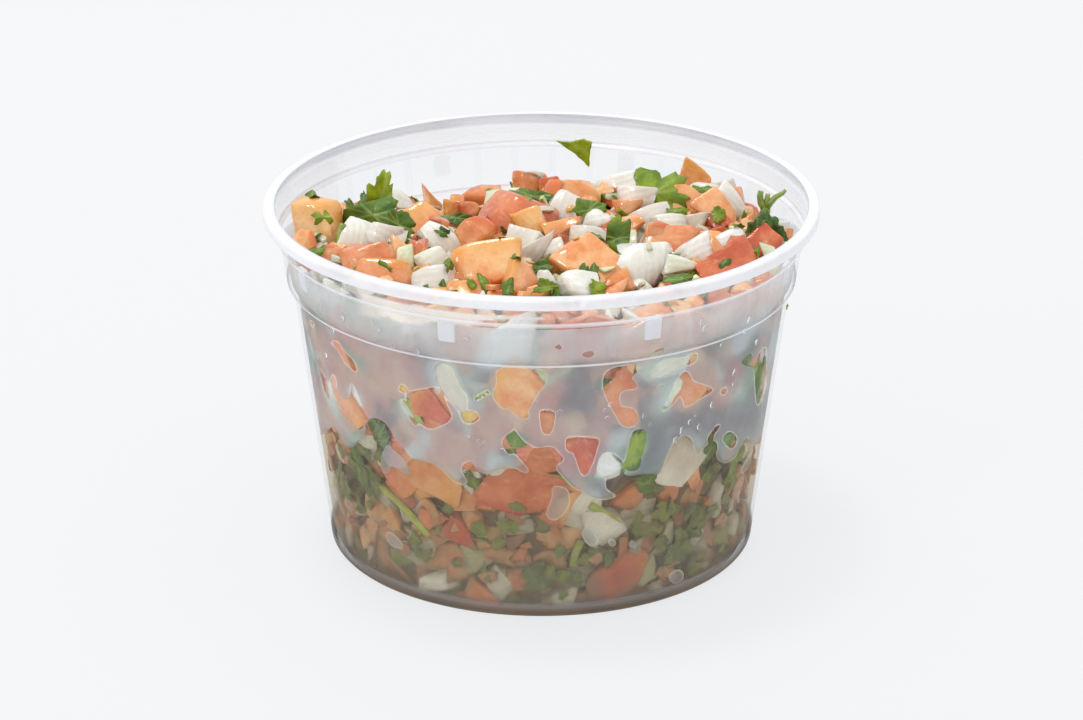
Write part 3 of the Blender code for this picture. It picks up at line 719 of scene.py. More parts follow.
tomato_flesh, tree, place, shade = food_material("tomato_flesh")
pale = two_tones(tree, shade, (253, 210, 150), (214, 92, 46))
deep = two_tones(tree, shade, (240, 154, 78), (184, 60, 28))
mottled = flesh(tree, place, pale, deep, 0.15)
along_fibre = {0: place, 1: (0.28, 1.0, 1.0)}
stretched = add(tree, "ShaderNodeVectorMath", along_fibre, operation="MULTIPLY").outputs[0]
fibres = ramp(tree, noise(tree, 0.9, 3.0, 0.6, stretched), 0.54, 0.74, 0.0, 0.32, smooth=True)
with_fibres = mix_colour(tree, fibres, mottled["Colour"], from_paint(248, 212, 172))
jelly = maths(tree, "MULTIPLY", fact(tree, "jelly"), 0.6)
with_jelly = mix_colour(tree, jelly, with_fibres, from_paint(232, 164, 66))
skin_colour = two_tones(tree, shade, (230, 122, 48), (188, 54, 22))
with_skin = mix_colour(tree, maths(tree, "MULTIPLY", fact(tree, "skin"), 0.9), with_jelly, skin_colour)
gloss = wet_gloss(tree, place, 0.1, 0.34)
finish_with(tree, food_shader(tree, with_skin, gloss, mottled["Height"], 0.5, 0.6, 0.14, (1.0, 0.5, 0.25)))

# %% [markdown]
# ## Onion
#
# White onion is glassy: light goes into it, and the fine veins along each layer show as faint
# stripes. The stripes follow the attribute `across`, the place across the slab, so they bend
# with it. Some pieces come from near the green end, and `shade` tints those.

# %% Onion material
onion_flesh, tree, place, shade = food_material("onion_flesh")
wobble = maths(tree, "MULTIPLY", noise(tree, 0.25, 2.0, 0.5, place), 1.2)
veins = maths(tree, "SINE", maths(tree, "MULTIPLY", maths(tree, "ADD", fact(tree, "across"), wobble), 4.6))
vein_share = ramp(tree, veins, 0.2, 1.0, 0.0, 0.5)
pale = two_tones(tree, shade, (248, 247, 242), (222, 229, 178))
deep = two_tones(tree, shade, (230, 229, 217), (194, 206, 136))
mottled = flesh(tree, place, pale, deep, 0.18)
veined = mix_colour(tree, vein_share, mottled["Colour"], deep)
glassy = ramp(tree, noise(tree, 0.05, 1.0, 0.5, place), 0.46, 0.6, 0.0, 0.7, smooth=True)
veined = mix_colour(tree, glassy, veined, from_paint(234, 222, 208))
height = maths(tree, "ADD", mottled["Height"], maths(tree, "MULTIPLY", veins, 0.28))
gloss = wet_gloss(tree, place, 0.12, 0.34)
shader = food_shader(tree, veined, gloss, height, 0.3, 0.5, 0.2, (1.0, 0.97, 0.85))
see_in = see_through(tree, (0.96, 0.96, 0.93, 1))
finish_with(tree, mix_shader(tree, maths(tree, "MULTIPLY", glassy, 0.2), shader, see_in))

# %% [markdown]
# ## Cilantro
#
# The leaves are thin, dark and matt above and paler below, with a few light veins. The stems are
# smooth and light green. Both take their tone from `shade`, as chopped leaves bruise unevenly.

# %% Leaf and stem materials
leaf_green, tree, place, shade = food_material("cilantro_leaf")
pale = two_tones(tree, shade, (160, 180, 14), (78, 112, 34))
deep = two_tones(tree, shade, (118, 148, 10), (42, 78, 24))
mottled = flesh(tree, place, pale, deep, 0.3, 2.2)
vein = ramp(tree, fact(tree, "vein"), 0.0, 0.16, 0.55, 0.0)
veined = mix_colour(tree, vein, mottled["Colour"], from_paint(168, 182, 96))
gloss = wet_gloss(tree, place, 0.3, 0.58)
finish_with(tree, food_shader(tree, veined, gloss, mottled["Height"], 0.6, 0.06, 0.0, (0.6, 1.0, 0.2)))

stem_green, tree, place, shade = food_material("cilantro_stem")
pale = two_tones(tree, shade, (186, 198, 96), (120, 146, 60))
deep = two_tones(tree, shade, (150, 168, 62), (84, 112, 40))
mottled = flesh(tree, place, pale, deep, 0.4)
gloss = wet_gloss(tree, place, 0.16, 0.36)
shader = food_shader(tree, mottled["Colour"], gloss, mottled["Height"], 0.3, 0.3, 0.0, (0.6, 1.0, 0.3))
finish_with(tree, shader)

# %% Seed and mash materials
seed_cream, tree, place, _ = food_material("tomato_seed")
mottled = flesh(tree, place, from_paint(238, 208, 120), from_paint(214, 168, 72), 0.35)
gloss = wet_gloss(tree, place, 0.1, 0.3)
shader = food_shader(tree, mottled["Colour"], gloss, mottled["Height"], 0.2, 0.4, 0.0, (1.0, 0.7, 0.3))
finish_with(tree, shader)

mash, tree = new_material("packed_mash")
place = object_place(tree)
bits = add(tree, "ShaderNodeTexVoronoi", {"Vector": place, "Scale": 210.0}, feature="F1")
by_bit = add(tree, "ShaderNodeSeparateColor", {0: bits.outputs["Color"]}).outputs[0]
reds = two_tones(tree, ramp(tree, by_bit, 0.3, 0.7), (132, 72, 48), (92, 50, 34))
greens = mix_colour(tree, ramp(tree, by_bit, 0.78, 0.86), reds, from_paint(58, 62, 34))
paler = mix_colour(tree, ramp(tree, by_bit, 0.9, 0.94), greens, from_paint(158, 132, 104))
rough = ramp(tree, noise(tree, 160.0, 3.0, 0.5, place), 0.3, 0.7, 0.15, 0.5)
normal = bump(tree, bits.outputs["Distance"], 0.6, 0.001)
finish_with(tree, principled(tree, paler, rough, {"Normal": normal}))
foods = (tomato_flesh, onion_flesh, leaf_green, stem_green, seed_cream, mash)
print("food materials:", [material.name for material in foods])

# %% [markdown]
# ## Shapes of the pieces
#
# A knife leaves blocks with flat faces, sharp but slightly soft edges and odd corners. Each block
# starts as a cube's surface of even quads. The points are pulled on to a box with rounded edges,
# then a few slanting cuts flatten its corners, and slow waves make it less regular. A subdivision
# modifier could round the edges too, but arrays let one call give every piece its own cuts.

# %% Rounded blocks
def cube_squares(count):
    """Points on the surface of a cube from -1 to 1, denser near its edges, and its quads."""
    lookup, points, quads = {}, [], []
    lines = np.sin(0.5 * math.pi * np.linspace(-1, 1, count + 1))

    def point(key):
        if key not in lookup:
            lookup[key] = len(points)
            points.append([lines[i] for i in key])
        return lookup[key]

    for axis in range(3):
        for side in (0, count):
            for a in range(count):
                for b in range(count):
                    corners = []
                    for da, db in ((0, 0), (1, 0), (1, 1), (0, 1)):
                        key = [0, 0, 0]
                        key[axis], key[(axis + 1) % 3], key[(axis + 2) % 3] = side, a + da, b + db
                        corners.append(point(tuple(key)))
                    quads.append(corners if side else corners[::-1])
    return np.array(points), np.array(quads)


CUBES = {count: cube_squares(count) for count in (4, 5, 6, 8, 9)}


def slow_waves(points, rng, length, strength):
    """Moves points by a few slow waves, so that nothing stays straight."""
    shift = np.zeros_like(points)
    for _ in range(3):
        way = rng.normal(size=3)
        way /= np.linalg.norm(way)
        push = rng.normal(size=3)
        push /= np.linalg.norm(push)
        shift += strength / 1.7 * np.sin(points @ way * 6.28 / length + rng.uniform(0, 6.28))[:, None] * push
    return points + shift


def softened(cube, half, soft):
    """A cube's points taken to a box with rounded edges."""
    points = cube * half
    flat = np.maximum(half - soft, 0.02)
    middle = np.clip(points, -flat, flat)
    out = points - middle
    return middle + soft * out / np.maximum(np.linalg.norm(out, axis=1, keepdims=True), 1e-9)


def knife_block(size, rng, count, softness=0.2, cuts=4):
    """A diced piece or a wedge: a box with soft edges, leaning sides and a few corners cut off."""
    cube, quads = CUBES[count]
    half = np.array(size) / 2
    points = softened(cube, half, softness * rng.uniform(0.8, 1.7) * half.min())
    lean = rng.uniform(-0.3, 0.3, (3, 3))
    np.fill_diagonal(lean, 1.0)
    points = points @ lean.T
    taper = 1 + rng.uniform(-0.3, 0.3) * points[:, 0] / half[0]
    if size[0] < 11 and rng.random() < 0.3:
        taper = 0.62 - 0.5 * points[:, 0] / half[0]
    points[:, 1] *= taper
    for _ in range(cuts):
        way = rng.choice([-1.0, 1.0], 3) * rng.uniform(0.15, 1.0, 3)
        way /= np.linalg.norm(way)
        reach = float(np.abs(way) @ half) * rng.uniform(0.5, 0.72)
        past = np.maximum(points @ way - reach, 0)
        points = points - past[:, None] * way
    points = slow_waves(points, rng, 0.9 * max(size), 0.07 * min(size) + 0.06)
    return slow_waves(points, rng, 0.4 * max(size), 0.02 * min(size) + 0.03), quads


def with_grain(points, rng):
    """Each piece reads the textures at a place of its own."""
    return points + rng.uniform(-60, 60, 3)


def tomato_piece(size, rng, count):
    points, quads = knife_block(size, rng, count)
    grain = with_grain(points, rng)
    half = np.array(size) / 2
    side = rng.integers(0, 5)
    skin, jelly = np.zeros(len(points)), np.zeros(len(points))
    if side < 4:
        axis, way = (1, 1, 0, 0)[side], (1, -1, 1, -1)[side]
        edge = way * points[:, axis] / half[axis]
        skin = np.clip((edge - 0.80) / 0.12, 0, 1)
        if rng.random() < 0.5:
            jelly = np.clip((-edge - 0.15) / 0.7, 0, 1)
        points[:, axis] += way * 0.16 * size[axis] * skin * (1 - (points[:, 2] / half[2]) ** 2)
    return points, quads, (), dict(grain=grain, skin=skin, jelly=jelly)


def onion_piece(size, rng, count):
    """A slab of one layer, bent along its length, with shallow ribs along it."""
    points, quads = knife_block(size, rng, count, softness=0.26, cuts=3)
    grain = with_grain(points, rng)
    across = points[:, 1].copy() + rng.uniform(-9, 9)
    bend = 0.55 * size[0] + 2.5
    points[:, 2] -= 0.03 * points[:, 1] ** 2
    points[:, 2] += size[0] ** 2 / (24 * bend) - points[:, 0] ** 2 / (2 * bend)
    return points, quads, (), dict(grain=grain, across=across)


# %% [markdown]
# ## Shapes of leaves, stems and seeds
#
# A torn cilantro leaf is a thin wavy sheet with toothed lobes. It is made on a grid of rings and
# spokes, once for each face, so that both faces are divided alike and the sheet is closed. A stem
# is a slightly bowed tube, and a seed a flattened drop.

# %% Leaves, stems and seeds
LEAF_DETAIL = {4: (18, 2), 5: (24, 3), 8: (46, 4)}


def leaf_piece(size, rng, count):
    length, width, thick = size
    spokes, leaf_rings = LEAF_DETAIL[count]
    turn = turns(spokes)
    lobes, phase = rng.integers(2, 6), rng.uniform(0, 6.28)
    reach = 0.44 + 0.08 * np.cos(lobes * turn + phase) + 0.035 * np.sin(3 * lobes * turn + 2 * phase)
    reach = reach + 0.032 * np.sin(11 * turn + 5 * phase) + 0.018 * np.sin(17 * turn + 2 * phase)
    for _ in range(rng.integers(1, 3)):
        slant = np.cos(turn - rng.uniform(0, 6.28))
        reach = np.minimum(reach, rng.uniform(0.2, 0.36) / np.maximum(slant, 1e-3))
    curl, fold = rng.uniform(0.05, 0.16) * length, rng.uniform(-0.45, 0.45)
    sheets, facts = [], []
    for side in (-0.5, 0.5):
        rings = []
        for k in range(leaf_rings + 1):
            share = k / leaf_rings
            x, y = length * reach * share * np.cos(turn), width * reach * share * np.sin(turn)
            wave = curl * share ** 2 * np.sin(2 * turn + phase) + fold * np.abs(y)
            wave = wave + 0.02 * length * share * np.sin(7 * turn + 3 * phase)
            thin = thick * (1 - 0.6 * share ** 3)
            rings.append(np.stack([x, y, wave + side * thin], axis=1))
        sheets.append(np.concatenate(rings))
    points = np.concatenate(sheets)
    per_sheet = spokes * (leaf_rings + 1)
    one_face = [quad for k in range(leaf_rings) for quad in between(k * spokes, (k + 1) * spokes, spokes)]
    other_face = [(a + per_sheet, c + per_sheet, d + per_sheet, b + per_sheet) for a, b, d, c in one_face]
    last = leaf_rings * spokes
    quads = one_face + other_face + between(last, last + per_sheet, spokes)
    u, v = points[:, 0] / length, points[:, 1] / width
    ribs = np.minimum.reduce([np.abs(v), np.abs(v - 0.7 * u), np.abs(v + 0.7 * u)])
    return points, quads, (), dict(grain=with_grain(points, rng), vein=np.clip(ribs * 4, 0, 1))


def tube_piece(path, radii, rng, sides=8):
    """A closed tube along a path of points."""
    path, radii = np.array(path, float), np.broadcast_to(radii, len(path))
    ways = np.gradient(path, axis=0)
    ways /= np.linalg.norm(ways, axis=1, keepdims=True)
    turn = turns(sides)
    rings = []
    for centre, way, radius in zip(path, ways, radii):
        side = np.cross(way, (0.3, 0.2, 1.0))
        side /= np.linalg.norm(side)
        other = np.cross(way, side)
        ridge = radius * (1 + 0.06 * np.cos(3 * turn))
        around = (ridge * np.cos(turn))[:, None] * side + (ridge * np.sin(turn))[:, None] * other
        rings.append(centre + around)
    points = np.concatenate(rings + [path[0:1], path[-1:]])
    quads = ring_faces(len(path), sides)
    first, final = len(points) - 2, len(points) - 1
    tail = (len(path) - 1) * sides
    caps = [(i, first, (i + 1) % sides) for i in range(sides)]
    caps += [(tail + i, tail + (i + 1) % sides, final) for i in range(sides)]
    return points, quads, caps, dict(grain=with_grain(points, rng))


def stem_piece(size, rng, _):
    length, width, _ = size
    along = np.linspace(-0.5, 0.5, 9)
    bow = rng.uniform(0.03, 0.08) * length
    path = np.stack([along * length, bow * np.cos(along * math.pi), 0.3 * bow * np.sin(along * 5)], axis=1)
    return tube_piece(path, width / 2, rng)


def seed_piece(size, rng, count):
    cube, quads = CUBES[count]
    points = cube / np.linalg.norm(cube, axis=1, keepdims=True) * np.array(size) / 2
    points[:, 1] *= 1 - 0.35 * points[:, 0] / size[0] * 2
    return points, quads, (), dict(grain=with_grain(points, rng))


# %% [markdown]
# ## The heap's form and the places on it
#
# The heap is a broad mound that falls away behind its crest. The same function shaped the solid,
# so the pieces here stand where the solid's do. Each row of the tables names a kind, the column
# and row where the picture shows its middle, its size, how it is turned, and its shade.

# %% Heap form
CREST_HEIGHT, CREST_AT = 70.6, 12.0


def heap_height(x, y):
    behind = y - CREST_AT
    fall = np.where(behind > 0, 0.0085, 0.0009) * behind ** 2
    dip = 5.0 * np.exp(-((x + 20) / 12) ** 2 - ((y - 20) / 18) ** 2)
    return CREST_HEIGHT - fall - dip - 0.0009 * x ** 2


def sunk(x, y):
    """How much lower than the mound the loose filling lies in the hollow at the back left."""
    return 2.6 * np.clip((-4 - x) / 4, 0, 1) * np.clip((y - 2) / 4, 0, 1)


SQUEEZE = 0.08


def kept_inside(points, spare=0.04):
    """Pieces that would cross the wall are pressed flat against it, without folding on themselves."""
    points = points.copy()
    points[:, 2] = np.maximum(points[:, 2], FLOOR_TOP + 0.1)
    radius = np.maximum(radius_of(points), 1e-6)
    soft_from = inner_radius(points[:, 2]) - spare - SQUEEZE
    over = np.maximum(radius - soft_from, 0)
    squeezed = soft_from + SQUEEZE * (1 - np.exp(-over / 0.5))
    points[:, :2] *= np.where(over > 0, squeezed / radius, 1.0)[:, None]
    return points


def facing(spin, lean, turn):
    return (
        Matrix.Rotation(math.radians(turn), 4, "Z")
        @ Matrix.Rotation(math.radians(lean), 4, "X")
        @ Matrix.Rotation(math.radians(spin), 4, "Z")
    )


def against_wall(angle, spin):
    out = Matrix.Rotation(angle + math.pi / 2, 4, "Z") @ Matrix.Rotation(math.pi / 2, 4, "X")
    return out @ Matrix.Rotation(math.radians(spin), 4, "Z")


# %% Pieces on top: kind, column, row, length, width, thick, spin, lean, turn, shade
TOP_PIECES = [
    ("tomato", 320, 230, 12.2, 9.4, 6.0, 80, 72, -25, 0.05),
    ("tomato", 303, 244, 6.0, 4.5, 4.0, 20, 50, -40, 0.1),
    ("stem", 341, 240, 7.0, 1.6, 1.6, 84, 68, 0, 0.5),
    ("onion", 356, 238, 9.0, 6.5, 3.2, 75, 60, 10, 0.1),
    ("onion", 382, 238, 7.0, 5.5, 3.0, -25, 55, 0, 0.0),
    ("onion", 398, 236, 6.0, 5.0, 3.0, 40, 60, 20, 0.1),
    ("leaf", 373, 215, 14.0, 10.6, 0.4, -12, 66, -10, 0.8),
    ("leaf", 381, 199, 12.6, 9.8, 0.5, 75, 84, 12, 0.0),
    ("onion", 402, 202, 8.0, 5.5, 2.6, -40, 70, 30, 0.05),
    ("leaf", 399, 225, 9.6, 6.4, 0.4, -55, 62, 15, 0.7),
    ("tomato", 425, 227, 10.5, 8.6, 6.0, -48, 62, 8, 0.15),
    ("onion", 444, 242, 10.0, 6.0, 2.4, -62, 55, 25, 0.1),
    ("tomato", 371, 262, 11.5, 8.0, 7.0, 24, 55, -10, 0.6),
    ("tomato", 336, 259, 5.5, 4.2, 4.0, 15, 50, -20, 0.5),
    ("tomato", 384, 275, 13.0, 5.5, 5.0, -14, 45, 0, 0.5),
    ("tomato", 418, 256, 6.5, 5.0, 5.0, 70, 58, 10, 0.7),
    ("onion", 406, 261, 6.0, 3.6, 3.0, 82, 64, 0, 0.6),
    ("onion", 433, 262, 6.5, 5.0, 3.0, 35, 55, 0, 0.2),
    ("onion", 437, 281, 8.8, 5.4, 4.5, -3, 50, 5, 0.0),
    ("leaf", 456, 218, 7.5, 4.0, 0.4, -5, 45, 0, 0.9),
    ("tomato", 456, 209, 5.0, 4.0, 4.0, 0, 50, 0, 0.5),
    ("tomato", 470, 211, 4.6, 4.0, 4.0, 30, 50, 0, 0.7),
    ("onion", 500, 197, 9.0, 5.5, 3.0, 22, 55, 0, 0.4),
    ("tomato", 530, 186, 8.0, 6.5, 5.0, -10, 70, 5, 0.45),
    ("tomato", 552, 190, 5.5, 4.5, 4.0, 0, 60, 0, 0.8),
    ("leaf", 534, 197, 12.5, 6.0, 0.4, -8, 54, 0, 0.8),
    ("tomato", 517, 223, 16.0, 11.0, 7.5, -28, 62, -8, 0.75),
    ("tomato", 480, 230, 6.5, 4.5, 4.5, 70, 62, -15, 0.7),
    ("tomato", 469, 239, 8.2, 6.0, 5.0, 62, 62, -10, 0.4),
    ("onion", 565, 210, 8.8, 7.0, 3.0, 58, 64, 8, 0.0),
    ("leaf", 589, 210, 8.0, 6.5, 0.4, 40, 60, 10, 0.7),
    ("tomato", 577, 197, 11.0, 7.2, 6.0, -8, 52, 5, 0.2),
    ("tomato", 530, 228, 7.0, 6.5, 5.0, 20, 62, 0, 0.0),
    ("tomato", 563, 231, 8.4, 7.0, 5.0, 25, 55, 12, 0.35),
    ("onion", 519, 247, 8.0, 5.6, 3.0, 70, 60, -8, 0.1),
    ("onion", 537, 251, 10.0, 5.6, 2.8, 48, 58, 0, 0.05),
    ("onion", 554, 252, 5.0, 4.0, 3.0, 30, 55, 0, 0.0),
    ("leaf", 542, 267, 7.0, 4.0, 0.6, 12, 45, 0, 0.9),
    ("tomato", 484, 271, 15.0, 10.5, 8.0, 6, 55, -5, 0.1),
    ("tomato", 522, 281, 8.6, 7.0, 6.0, 60, 52, 10, 0.4),
    ("onion", 548, 279, 5.0, 4.0, 3.0, -40, 60, 0, 0.0),
    ("leaf", 547, 287, 6.0, 3.6, 0.4, 5, 55, 0, 0.5),
    ("tomato", 586, 266, 14.0, 10.5, 8.0, -32, 55, 6, 0.25),
    ("onion", 578, 286, 8.4, 5.6, 4.0, 0, 52, -10, 0.0),
    ("onion", 591, 241, 8.5, 6.5, 3.2, -12, 58, 5, 0.0),
    ("tomato", 596, 249, 4.6, 3.2, 3.0, -40, 60, 0, 0.2),
    ("onion", 596, 221, 8.0, 4.4, 3.0, 10, 50, 0, 0.1),
    ("leaf", 617, 239, 11.0, 7.4, 0.4, 12, 52, 0, 0.8),
    ("tomato", 628, 208, 6.5, 5.6, 5.0, 20, 60, 0, 0.45),
    ("tomato", 626, 226, 7.5, 4.6, 4.0, 22, 50, 0, 0.3),
    ("onion", 617, 186, 11.0, 5.4, 1.8, 24, 66, -15, 0.0),
    ("onion", 638, 268, 10.6, 12.4, 5.0, 86, 62, 4, 0.0),
    ("leaf", 655, 193, 16.5, 12.5, 0.4, 8, 58, 4, 0.4),
    ("onion", 640, 201, 8.4, 5.4, 2.8, 14, 60, 0, 0.0),
    ("tomato", 695, 180, 7.5, 5.4, 5.0, -25, 68, 0, 0.2),
    ("onion", 701, 193, 9.5, 4.8, 3.0, -6, 60, 0, 0.1),
    ("tomato", 688, 202, 8.6, 6.4, 5.0, 10, 55, 0, 0.3),
    ("tomato", 719, 214, 10.5, 6.0, 5.0, -45, 58, 10, 0.35),
    ("onion", 733, 207, 9.6, 7.6, 2.6, -50, 66, 15, 0.0),
    ("onion", 733, 189, 6.4, 4.6, 0.9, 30, 78, 0, 0.0),
    ("leaf", 757, 236, 10.0, 7.5, 0.4, 60, 66, 10, 0.95),
    ("leaf", 769, 232, 9.0, 6.5, 0.4, -60, 62, 20, 0.95),
    ("onion", 784, 226, 4.0, 3.0, 2.0, 0, 60, 30, 0.0),
    ("tomato", 783, 239, 5.0, 4.0, 4.0, 30, 60, 30, 0.4),
    ("tomato", 762, 248, 8.6, 5.6, 5.0, 22, 55, 20, 0.8),
    ("tomato", 728, 265, 14.0, 7.6, 6.0, 18, 52, 12, 0.85),
    ("onion", 730, 246, 8.4, 6.4, 4.0, 20, 55, 10, 0.0),
    ("tomato", 707, 239, 8.2, 6.6, 5.5, 10, 55, 0, 0.2),
    ("onion", 696, 254, 9.4, 6.6, 4.2, 24, 52, 6, 0.0),
    ("tomato", 674, 241, 11.4, 6.4, 5.0, -10, 54, 0, 0.55),
    ("onion", 670, 225, 6.6, 4.6, 4.0, 10, 55, 0, 0.1),
    ("onion", 651, 219, 9.6, 5.0, 3.0, 30, 50, 0, 0.1),
    ("leaf", 677, 211, 5.0, 3.6, 0.4, 0, 50, 0, 0.6),
    ("onion", 699, 222, 5.4, 5.0, 3.0, 40, 58, 0, 0.6),
    ("leaf", 717, 215, 4.6, 3.6, 0.4, -50, 60, 0, 0.5),
    ("tomato", 715, 222, 4.6, 4.0, 3.6, -50, 60, 0, 0.9),
    ("tomato", 743, 234, 5.0, 4.4, 4.0, 30, 55, 0, 0.5),
    ("leaf", 669, 256, 6.0, 3.0, 0.4, 8, 50, 0, 0.9),
    ("onion", 681, 267, 9.4, 4.8, 3.4, -4, 52, 5, 0.3),
    ("leaf", 684, 279, 8.4, 4.4, 0.4, 6, 45, 0, 0.8),
    ("tomato", 655, 240, 6.0, 5.4, 4.0, 60, 58, 0, 0.4),
    ("leaf", 318, 252, 4.4, 2.4, 0.4, 10, 55, 0, 0.6),
    ("leaf", 358, 248, 3.4, 2.0, 0.4, 10, 55, 0, 0.5),
]
print(len(TOP_PIECES), "pieces placed on top")

# %% Pieces against the front wall: kind, column, row, length, width, thick, spin, shade
FRONT_PIECES = [
    ("tomato", 344, 357, 8.2, 2.8, 4.5, -50, 0.35),
    ("tomato", 343, 400, 13.0, 10.2, 6.0, -62, 0.3),
    ("tomato", 314, 335, 7.0, 4.4, 4.5, -70, 0.2),
    ("onion", 453, 387, 12.5, 5.6, 3.5, -58, 0.45),
    ("tomato", 519, 391, 11.5, 11.0, 6.0, -35, 0.0),
    ("tomato", 552, 360, 4.6, 4.2, 4.0, 40, 0.0),
    ("onion", 503, 350, 13.0, 10.0, 5.0, 10, 0.0),
    ("tomato", 621, 395, 13.4, 9.2, 6.0, 78, 0.35),
    ("tomato", 694, 388, 9.0, 8.6, 5.5, -20, 0.3),
    ("onion", 672, 366, 11.0, 5.0, 3.5, 18, 0.35),
    ("onion", 670, 394, 8.0, 5.0, 3.5, 65, 0.4),
    ("leaf", 635, 450, 10.4, 5.8, 0.5, 80, 0.2),
    ("tomato", 582, 456, 9.6, 9.0, 5.5, -70, 0.7),
    ("onion", 686, 460, 12.6, 11.0, 5.0, 55, 0.0),
    ("onion", 611, 467, 7.0, 6.6, 4.0, -20, 0.0),
    ("leaf", 646, 484, 8.4, 6.0, 0.5, 10, 0.8),
    ("leaf", 710, 452, 6.4, 5.4, 0.5, 60, 0.9),
    ("leaf", 736, 463, 11.0, 4.6, 0.5, 58, 0.4),
    ("leaf", 750, 362, 5.6, 5.0, 0.5, -75, 0.8),
    ("leaf", 762, 384, 12.6, 4.4, 0.5, 85, 0.8),
    ("leaf", 354, 430, 5.8, 3.4, 0.5, -25, 0.0),
    ("leaf", 380, 434, 8.0, 7.4, 0.5, 60, 0.95),
    ("tomato", 430, 408, 10.8, 9.6, 6.0, -35, 0.65),
    ("stem", 411, 412, 6.5, 1.6, 1.6, -52, 0.1),
    ("leaf", 356, 466, 12.6, 9.0, 0.5, -50, 0.8),
    ("leaf", 370, 482, 10.0, 7.0, 0.5, -20, 0.9),
    ("leaf", 340, 480, 12.0, 5.0, 0.5, -70, 0.9),
    ("tomato", 432, 476, 14.4, 8.4, 6.0, -33, 0.1),
    ("tomato", 399, 481, 7.6, 5.8, 4.5, -50, 0.5),
    ("stem", 400, 512, 15.5, 2.0, 2.0, -31, 0.0),
    ("tomato", 514, 489, 17.5, 9.8, 6.0, -14, 0.55),
    ("tomato", 540, 460, 9.4, 7.4, 5.0, -6, 0.5),
    ("leaf", 515, 442, 6.0, 5.8, 0.5, 70, 0.7),
    ("leaf", 480, 530, 5.4, 3.6, 0.5, -35, 0.0),
    ("leaf", 509, 526, 5.4, 4.2, 0.5, -5, 0.0),
    ("leaf", 474, 485, 6.6, 3.2, 0.5, -60, 0.7),
    ("stem", 555, 481, 7.4, 1.4, 1.4, -14, 0.3),
    ("tomato", 459, 535, 8.4, 7.4, 5.0, -40, 0.75),
    ("tomato", 430, 520, 7.0, 6.4, 5.0, 10, 0.5),
    ("onion", 433, 584, 12.6, 4.6, 3.5, 12, 0.1),
    ("tomato", 483, 598, 8.4, 5.8, 4.5, -30, 0.3),
    ("leaf", 542, 579, 8.8, 7.0, 0.5, 35, 0.9),
    ("leaf", 563, 577, 4.8, 3.2, 0.5, 10, 0.0),
    ("onion", 605, 528, 8.8, 8.0, 4.5, 25, 0.0),
    ("stem", 607, 517, 9.0, 1.6, 1.6, -40, 0.0),
    ("leaf", 669, 510, 8.4, 5.6, 0.5, 10, 0.3),
    ("leaf", 701, 520, 8.0, 6.0, 0.5, 45, 0.9),
    ("leaf", 680, 551, 10.6, 7.6, 0.5, 30, 0.8),
    ("leaf", 607, 557, 5.4, 4.6, 0.5, 10, 0.9),
    ("tomato", 626, 572, 14.5, 10.0, 6.0, 25, 0.95),
    ("onion", 568, 597, 6.6, 5.8, 4.0, 60, 0.1),
    ("stem", 578, 555, 6.4, 1.8, 1.8, 76, 0.2),
    ("leaf", 730, 440, 4.6, 4.0, 0.5, 20, 0.6),
    ("stem", 482, 395, 4.4, 1.5, 1.5, 25, 0.1),
    ("seed", 469, 417, 3.6, 2.8, 1.4, 10, 0.0),
    ("seed", 403, 389, 2.2, 1.8, 1.0, 10, 0.0),
    ("seed", 632, 579, 3.4, 2.6, 1.4, 10, 0.0),
    ("seed", 484, 494, 3.6, 2.8, 1.4, 30, 0.0),
    ("tomato", 520, 431, 20.0, 9.0, 5.5, 5, 0.3),
    ("tomato", 450, 446, 14.0, 10.0, 5.5, 8, 0.25),
    ("tomato", 385, 372, 14.0, 12.0, 5.0, 30, 0.25),
    ("tomato", 350, 335, 12.0, 8.0, 5.0, -30, 0.35),
    ("onion", 745, 335, 9.0, 7.0, 4.0, 15, 0.0),
    ("tomato", 590, 340, 11.0, 9.0, 5.0, 50, 0.5),
    ("tomato", 470, 338, 9.0, 7.0, 5.0, 10, 0.1),
    ("tomato", 640, 345, 12.0, 9.0, 5.0, 0, 0.15),
]
SMALL_LEAVES = [
    (375, 430, 5.0, 0.95), (384, 441, 4.4, 0.9), (363, 452, 5.4, 0.8), (350, 462, 5.0, 0.9),
    (346, 486, 5.0, 0.7), (366, 478, 5.2, 1.0), (379, 456, 4.6, 0.9), (372, 497, 4.4, 0.8),
    (357, 505, 4.6, 0.9), (340, 450, 4.4, 0.6), (675, 508, 5.2, 0.85), (690, 514, 5.6, 1.0),
    (706, 521, 5.0, 0.9), (698, 532, 4.8, 1.0), (713, 508, 4.4, 0.8), (662, 545, 5.0, 0.8),
    (672, 556, 5.2, 0.9), (688, 547, 5.4, 0.75), (696, 560, 4.6, 0.9), (680, 535, 4.6, 0.9),
    (530, 572, 4.8, 0.95), (542, 583, 5.2, 0.9), (551, 572, 4.0, 0.3), (576, 579, 4.0, 0.8),
    (600, 553, 4.8, 0.95), (610, 560, 4.4, 0.9), (560, 552, 3.8, 0.7), (499, 545, 4.0, 0.4),
    (517, 508, 3.8, 0.3), (504, 528, 4.2, 0.2), (467, 478, 4.0, 0.9), (592, 480, 3.6, 0.2),
    (650, 484, 4.4, 0.9), (660, 489, 4.0, 0.9), (719, 468, 4.4, 0.8), (735, 480, 5.0, 0.6),
    (728, 500, 4.6, 0.4), (744, 452, 4.4, 0.5), (586, 562, 4.0, 0.6), (485, 575, 4.2, 0.6),
    (425, 555, 4.0, 0.7), (448, 508, 3.6, 0.7), (640, 520, 4.0, 0.6), (412, 540, 4.4, 0.6),
    (654, 600, 4.0, 0.7),
]
FRONT_GAPS = [
    (462, 388, 48, 34), (420, 345, 26, 16), (665, 425, 44, 36), (572, 396, 34, 26), (610, 482, 20, 12),
    (720, 415, 26, 22), (590, 370, 26, 18),
]
print(len(FRONT_PIECES), "pieces placed against the front of the wall")

